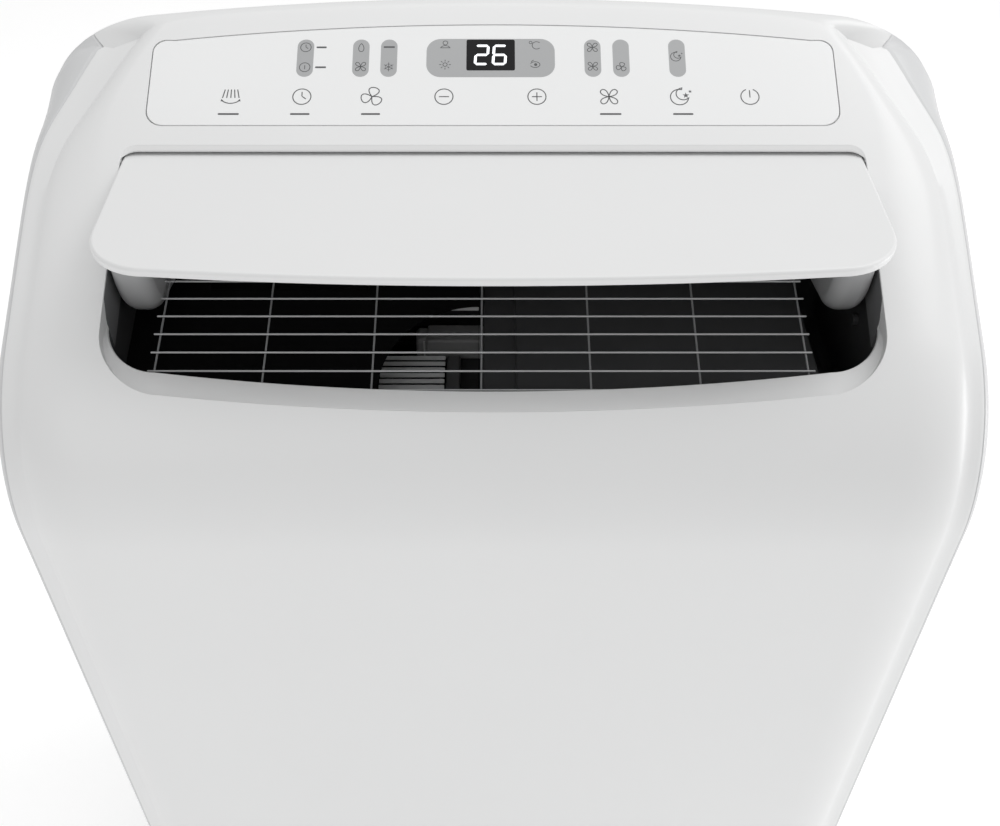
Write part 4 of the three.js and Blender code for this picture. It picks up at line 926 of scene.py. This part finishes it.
# ---- flap and its arms
flap_low = FLAP_TOP - FLAP_THICK
flap_rings = [(2.0, flap_low)] + [(1.2 * (1 - sin(a)), flap_low + 1.2 * (1 - cos(a)))
                                  for a in np.linspace(0, pi / 2, 6)]
flap_rings += [(1.7 * (1 - cos(a)), FLAP_TOP - 1.7 * (1 - sin(a)))
               for a in np.linspace(0, pi / 2, 9)] + [(4.2, FLAP_TOP)]
flap = ring_skin([lift(outlet_outline(FLAP, -g), n) for g, n in flap_rings])
finish(place(flap, OPENED), "flap_plate", WHITE, "flap", body="flap", angle=50)

ARM_OUTLINE = [(-123, 705.8), (-122, 690), (-119.5, 674), (-115.5, 663), (-110, 656), (-103, 651.5),
               (-94, 650), (-70, 646.6), (-44.15, 643.91), (-37.8, 646.5), (-35.15, 652.9), (-35.15, 672),
               (-44, 709.2)]
ARM_X, ARM_EDGE, ARM_REACH, TRUNNION_R = (164.9, 184.1), 8.2, {-1: 204, 1: 192}, 3.9


def smooth_path(points, closed=True, per=6):
    """A Catmull-Rom curve through the points."""
    p = [np.array(q, float) for q in points]
    n = len(p)
    out = []
    for i in range(n if closed else n - 1):
        a, b, c, d = (p[(i + k) % n] if closed else p[min(max(i + k, 0), n - 1)] for k in (-1, 0, 1, 2))
        for s in np.linspace(0, 1, per, endpoint=False):
            out.append(0.5 * (2 * b + (c - a) * s + (2 * a - 5 * b + 4 * c - d) * s * s
                              + (3 * b - a - 3 * c + d) * s ** 3))
    if not closed:
        out.append(p[-1])
    return np.array(out)


def arm(sign):
    foot, tip = ARM_OUTLINE[-1], ARM_OUTLINE[0]
    seat = [(lerp(foot[0], tip[0], s), lerp(foot[1], tip[1], s)) for s in (0.25, 0.5, 0.75)]
    line = np.vstack([smooth_path(ARM_OUTLINE[:-1], closed=False, per=5), [foot], seat])
    tangent = sum(d / np.linalg.norm(d, axis=1)[:, None] for d in (np.roll(line, -1, 0) - line,
                                                                   line - np.roll(line, 1, 0)))
    tangent /= np.linalg.norm(tangent, axis=1)[:, None]
    inward = np.stack([-tangent[:, 1], tangent[:, 0]], 1)
    if ((line.mean(0) - line) * inward).sum() < 0:
        inward = -inward
    flat_top = np.clip((line[:, 1] - 698) / 8, 0, 1)
    rings = []
    for a in np.linspace(0, pi, 17):
        x = ARM_X[0] + ARM_EDGE * (1 - cos(a)) if a <= pi / 2 else ARM_X[1] - ARM_EDGE * (1 + cos(a))
        pull = ARM_EDGE * (1 - sin(a)) * (1 - flat_top) * 0.93
        rings.append([(sign * x, y, z) for y, z in line + inward * pull[:, None]])
    y, z = slope_point(PIVOT_T, PIVOT_N)
    reach = ARM_REACH[sign]
    boss = rod("x", 9, 17.4, (sign * 174.2, y, z), 48, 0.8)
    trunnion = rod("x", TRUNNION_R, reach - 176, (sign * (reach + 176) / 2, y, z), 32, 0.4)
    return join(ring_skin(rings), boss, trunnion)


# the arms carry the darker grey that paints the duct's shade on them
for sign, side in ((-1, "left"), (1, "right")):
    finish(arm(sign), f"flap_arm_{side}_form", ARM_PAINTED_SHADE, f"flap_arm_{side}", body="flap", angle=38)

# ---- outlet: guard wires, duct, inner pieces
END, FOOT_END, PITCH, COLUMN = 160.3, 175.0, 10.8, 52.5
ROWS_BELOW, ROWS_ABOVE, COLUMNS_ASIDE = 3, 7, 3
low_row, high_row = -ROWS_BELOW * PITCH - 1.6, ROWS_ABOVE * PITCH + 1.6
across_wires, down_wires = [], []
for k in range(-ROWS_BELOW, ROWS_ABOVE + 1):
    reach = FOOT_END if k == -ROWS_BELOW else END
    across_wires.append(tube([(x, k * PITCH, 0.62) for x in (-reach, 0, reach)], 0.48))
for k in range(-COLUMNS_ASIDE, COLUMNS_ASIDE + 1):
    down_wires.append(tube([(k * COLUMN, t, -0.5) for t in (low_row, 0, high_row)], 0.5))
finish(place(gather(across_wires), ON_GUARD), "grille_cross_wires", WIRE, "outlet_grille", angle=60)
# the long wires take the darker copy of the wire colour as painted shade
finish(place(gather(down_wires), ON_GUARD), "grille_long_wires", WIRE_PAINTED_SHADE, angle=60)

DUCT = Sizes(half=190, front=-168, back=-19, floor=588, wall=2.5, x0=-5, x1=162)


def duct_shell():
    w = DUCT.wall
    box = rounded_block(-DUCT.half, DUCT.half, DUCT.front, DUCT.back, DUCT.floor, 760, 3)
    room = rounded_block(-DUCT.half + w, DUCT.half - w, DUCT.front + w, DUCT.back - w, DUCT.floor + w, 790, 5)
    throat = block(-150, -20, -95, -30, DUCT.floor - 5, DUCT.floor + 10)
    trim = place(block(-FAR, FAR, -FAR, 400, -LEDGE - 2.4, 200), ON_SLOPE)
    behind = block(-FAR, FAR, -45, 50, 712, 800)
    bearing = place(rod("x", TRUNNION_R + 0.3, 500, (0, PIVOT_T, PIVOT_N), 32), ON_SLOPE)
    return cut(box, room, throat, trim, behind, bearing)


def raised_body():
    """The smooth closed body under the right half of the outlet, with a lower step along its left edge."""
    x0, x1, y0, y1, w = DUCT.x0, DUCT.x1, DUCT.front + 2.6, DUCT.back - 2.6, 2.5
    foot = DUCT.floor + w + 0.02
    full = [(y0, foot), (y0, 631), (y1, 641), (y1, foot)]
    step = [(y0, foot), (y0, 628.6), (y1, 638.6), (y1, foot)]
    made = join(side_slab(full, 11.5, x1), side_slab(step, x0, 13))
    room = side_slab([(y0 + w, foot - 1), (y0 + w, 626), (y1 - w, 636), (y1 - w, foot - 1)], x0 + w, x1 - w)
    return bevel(cut(made, room), 1.0, 3, 40)


finish(duct_shell(), "outlet_duct_shell", DUCT_DARK, "outlet_duct")
finish(raised_body(), "outlet_duct_raised_body", DUCT_DARK)

# a black sheet over the left half, painted shade standing in for the unlit depth of the duct, open in a quarter
# circle and over the blower's throat
shade_sheet_pose = tilted((0, -130, 621.5), GUARD_TILT)
bite = [(-7.4, 51.5)] + [(-7.4 - 51 * sin(a), 51.5 * cos(a)) for a in np.linspace(0.02, pi / 2, 26)]
bite += [(-58.4, -34), (-7.4, -34)]
sheet = [(-187.2, -38), (-7.2, -38), (-7.2, 112), (-187.2, 112)]
throat = [(-150, 62), (-66, 62), (-66, 98), (-150, 98)]
shade_sheet = cut(*[place(plate(outline, low, high), shade_sheet_pose)
               for outline, low, high in ((sheet, -1.2, 0), (bite, -5, 5), (throat, -5, 5))])
finish(shade_sheet, "outlet_duct_shade_sheet", DUCT_PAINTED_SHADE, smooth=False)

SLATS, SLAT_PITCH, SLAT_TILT = 7, 5.1, radians(28)
slats = [block(-38.7, -37.7, -66.5, -66, 593, 603.5)]
for k in range(SLATS):
    slats.append(place(rounded_block(-61, -26, -1.25, 1.25, -0.4, 0.4, 0.35, 2),
                       tilted((0, -77.6 - SLAT_PITCH * k, 600.6), SLAT_TILT)))
finish(gather(slats), "outlet_duct_slats", WHITE)
drive = [rounded_block(-37, -5.2, -66, -50, 590.6, 603.5, 1.5),
         rounded_block(-43, -36, -65, -51, 590.6, 603, 2.5)]
finish(gather(drive), "outlet_duct_louvre_drive", WARM_GREY)
finish(rounded_block(-25.5, -17.8, -113, -70, 590.6, 597, 1.2), "outlet_duct_louvre_post", GUIDE_DARK)
# a thin white sliver where a small highlight shows at the top of the quarter opening: painted highlight
finish(rounded_block(-26, -7.6, -73.5, -72, 629.3, 637, 0.3), "outlet_duct_highlight_sliver", WHITE)
peg = rod("x", 3.2, 3.0, (185.9, -98, 641), 24, 0.5)
finish(peg, "outlet_duct_peg", DUCT_DARK)


# ---- rear: filters, hose collar, plugs, gland
def box_rings(x0, x1, z0, z1, levels):
    """A block along Y whose section grows by g at each level (y, g)."""
    return ring_skin([[(x0 - g, y, z0 - g), (x1 + g, y, z0 - g), (x1 + g, y, z1 + g), (x0 - g, y, z1 + g)]
                      for y, g in levels])


def cassette(f):
    """A filter frame with slanted louvres; the net behind them is made separately."""
    edge, rib, y0, y1 = 9, 5, BACK_Y - 12, BACK_Y - 0.05
    x0, x1, z0, z1 = f.x0, f.x1, f.z0, f.z1
    wide = (x1 - x0 - 2 * edge + rib) / f.columns
    high = (z1 - z0 - 2 * edge + rib) / f.slots
    levels = (y0, 0.4), (y0 + 0.4, 0), (y1 - 0.8, 0), (y1 - 0.25, 0.25), (y1, 0.8)
    body = ring_skin([[(x, y, z) for x, z in rounded(x0, x1, z0, z1, 3, 5, g)] for y, g in levels])
    gaps, blades = [], []
    for i in range(f.columns):
        gx0 = x0 + edge + i * wide
        gx1 = gx0 + wide - rib
        for k in range(f.slots):
            gz0 = z0 + edge + k * high
            gz1 = gz0 + high - rib
            gaps.append(box_rings(gx0, gx1, gz0, gz1, ((y0 - 5, 0), (y1 - 1, 0), (y1 + 1, 1.3))))
            middle = (gz0 + gz1) / 2
            section = [(y1 - 1.2, 3.4), (y1 - 2.4, 3.9), (y0 + 3.2, -2.9), (y0 + 4.4, -3.4)]
            blades.append(side_slab([(y, middle + z) for y, z in section], gx0 - 1, gx1 + 1))
    return cut(body, gather(gaps)), gather(blades)


for level, f in (("upper", UPPER_FILTER), ("lower", LOWER_FILTER)):
    body = f"filter_{level}"
    rim_part, blades = cassette(f)
    finish(rim_part, f"{body}_frame", REAR_GREY, body, body=body)
    finish(blades, f"{body}_louvres", REAR_GREY, body=body, smooth=False)
    net = block(f.x0 + 5, f.x1 - 5, BACK_Y - 10.6, BACK_Y - 10.0, f.z0 + 5, f.z1 - 5)
    finish(net, f"{body}_net", NET, body=body, smooth=False)
    tab_x = (f.x0 + f.x1) / 2
    grip = box_rings(tab_x - 14, tab_x + 14, f.z1 - 7, f.z1 - 2.2,
                     ((BACK_Y - 2, 0), (BACK_Y - 0.6, 0), (BACK_Y - 0.02, -0.5)))
    finish(grip, f"{body}_grip", GREY, body=body)

inner_r, outer_r, flange_r, y0, y1 = COLLAR.inner, COLLAR.outer, COLLAR.flange, COLLAR.y0, COLLAR.y1
collar_line = [(flange_r, y0), (flange_r, y0 + 2.6), (flange_r - 0.4, y0 + 3), (outer_r, y0 + 3.2),
               (outer_r, y1 - 1.2), (outer_r - 0.35, y1 - 0.35), (outer_r - 1.2, y1), (inner_r + 0.5, y1),
               (inner_r, y1 - 0.5), (inner_r, y1 - 6), (inner_r + 0.6, y1 - 7), (inner_r + 0.6, y1 - 10),
               (inner_r, y1 - 11), (inner_r, y0)]
collar = turned("y", collar_line, (COLLAR.x, 0, COLLAR.z), 120, closed=True)
finish(collar, "exhaust_collar_ring", DARK, "exhaust_collar", angle=35)

PLUG_LINE = [(4.2, -18), (5.0, -17.2), (5.2, -14), (4.7, -13.2), (5.2, -12.4), (5.2, 0.4), (8.3, 0.5), (9, 1.1),
             (9, 2.7), (8.4, 3.5), (7.4, 3.8)]
GLAND_LINE = [(4.2, -9), (8.6, -9), (8.6, -6.6), (11, -6.5), (11, -3.6), (8.6, -3.5), (8.6, 0.4), (10.4, 0.5),
              (11, 1.1), (10.8, 2.2), (9.6, 3.6), (8.4, 4.3), (5.0, 4.4), (4.2, 3.8)]
for level, (x, z) in DRAINS.items():
    name, pull = f"drain_plug_{level}", rounded_block(x - 2, x + 2, BACK_Y + 2, BACK_Y + 6.5, z - 6, z + 6, 0.9)
    plug = join(turned("y", PLUG_LINE, (x, BACK_Y, z), 48), pull)
    finish(plug, f"{name}_form", RUBBER, name, body=name, angle=35)
gland = turned("y", GLAND_LINE, (GLAND_X, BACK_Y, GLAND_Z), 48, closed=True)
finish(gland, "cord_gland_form", RUBBER, "cord_gland", angle=35)

# ---- casters
FORK_TOP, TRAIL, WHEEL_R = 55.6, 14, 20
CROWN_LINE = [(11.5, -10), (13.2, -9.2), (14, -7.6), (14, -1), (13.2, 0)]
CHEEK_LINE = [(-12, 47.2), (-4, 54.2), (11, 54.4), (18, 48.6), (20.4, 41.6), (20.6, 22), (18.6, 15.6),
              (14, 13.6), (9.2, 15.4), (5.6, 21.5), (-9, 37)]
TREAD_LINE = [(2.7, -8), (6.5, -8), (7.4, -7.2), (8.2, -6.0), (14.6, -6.0), (15.4, -7.2), (16.2, -8),
              (18.2, -8), (19.4, -7.4), (20, -6.2), (20, -0.7), (19.6, -0.4), (19.6, 0.4), (20, 0.7)]
TREAD_LINE += [(r, -h) for r, h in TREAD_LINE[-5::-1]]


def fork(x, y):
    cheek_line = [(y + dy, z) for dy, z in CHEEK_LINE]
    crown = turned("z", CROWN_LINE, (x, y, FORK_TOP), 48)
    stem = rod("z", 4, 32, (x, y, FORK_TOP + 6), 32, 0.5)
    cheeks = [bevel(side_slab(smooth_path(cheek_line, True, 4), x0, x0 + 2.5), 0.5, 2, 50)
              for x0 in (x + 9.2, x - 11.7)]
    return cut(join(crown, stem, *cheeks), rod("x", 2.6, 60, (x, y + TRAIL, WHEEL_R), 24))


for spot, (x, y) in CASTERS.items():
    axis = (x, y + TRAIL, WHEEL_R)
    for part, made, material, body, angle in (
            ("fork", fork(x, y), BLACK, "caster", 32),
            ("wheel", turned("x", TREAD_LINE, axis, 64, closed=True), RUBBER, "caster_wheel", 35),
            ("axle", rod("x", 2.5, 25.5, axis, 32, 0.5), AXLE_STEEL, "caster", 32)):
        finish(made, f"caster_{part}_{spot}_form", material, f"caster_{part}_{spot}", body=f"{body}_{spot}",
               angle=angle)

# ---- the frame's own pieces that stay in view
NODE_FINISH = {
    DARK: "base_tray exhaust_duct electrical_box",
    BLACK: "display_module blower_housing blower_wheel condenser_fan_housing condenser_wheel",
    STEEL: "flap_motor blower_motor condenser_motor splash_motor",
    ALUMINIUM: "evaporator_coil condenser_coil",
    ENAMEL: "compressor accumulator",
    COPPER: "suction_pipe discharge_pipe capillary_tube",
    NYLON: "mid_tray splash_wheel",
    CAN_METAL: "run_capacitor",
    BOARD: "control_board",
    GREY: " ".join(f"key_{key}" for key in KEY_X),
}
for material, names in NODE_FINISH.items():
    for o in (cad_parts[name] for name in names.split()):
        if not o.material_slots:
            o.data.materials.append(material)
        for s in o.material_slots:
            s.link, s.material = "OBJECT", material

for tool in (outer, inner, shell, housing):
    bpy.data.objects.remove(tool)

# ---- floor, light and camera
FLOOR_HALF, FLOOR_POINTS = 14.0, 24
grid = np.linspace(-FLOOR_HALF, FLOOR_HALF, FLOOR_POINTS)
corners = [r * FLOOR_POINTS + k for r in range(FLOOR_POINTS - 1) for k in range(FLOOR_POINTS - 1)]
floor = mesh_object([(x, y, 0) for y in grid for x in grid],
                    [(c, c + 1, c + FLOOR_POINTS + 1, c + FLOOR_POINTS) for c in corners], "floor")
floor_paint = moulded("pale_floor", None, (0.93, 0.93, 0.93), 0.6, 0.004, 0.0, 300, specular=0.1)
floor_shader = floor_paint.node_tree.nodes["Principled BSDF"]
floor_shader.inputs["Emission Color"].default_value = (1, 1, 1, 1)
floor_shader.inputs["Emission Strength"].default_value = 0.33
floor.data.materials.append(floor_paint)

world = bpy.data.worlds.new("studio")
bpy.context.scene.world = world
world.use_nodes = True
background = world.node_tree.nodes["Background"].inputs
background["Color"].default_value, background["Strength"].default_value = (1, 1, 1, 1), 0.565


def area_light(name, location, target, size, energy):
    data = bpy.data.lights.new(name, "AREA")
    data.shape, data.size, data.energy = "DISK", size, energy
    obj = add_object(name, data)
    obj.location = location
    obj.rotation_euler = (Vector(target) - Vector(location)).to_track_quat("-Z", "Y").to_euler()


area_light("key", (1.3, 0.4, 2.4), (0, 0, 0.6), 1.3, 13)
area_light("fill", (-0.9, -2.2, 1.7), (0, 0, 0.5), 1.6, 4)
area_light("top", (0, 0.5, 2.9), (0, 0, 0.5), 2.0, 13)
area_light("right", (2.4, -0.15, 0.45), (0, 0, 0.4), 1.2, 12)

camera_data = bpy.data.cameras.new("camera")
camera_data.sensor_width, camera_data.lens, camera_data.shift_x = 36, 43.38, 0.007
camera = add_object("camera", camera_data)
camera.location = (0, -0.6035, 1.0025)
camera.rotation_euler = (radians(50), 0, 0)
bpy.context.scene.camera = camera
bpy.context.scene.view_settings.view_transform = "Standard"
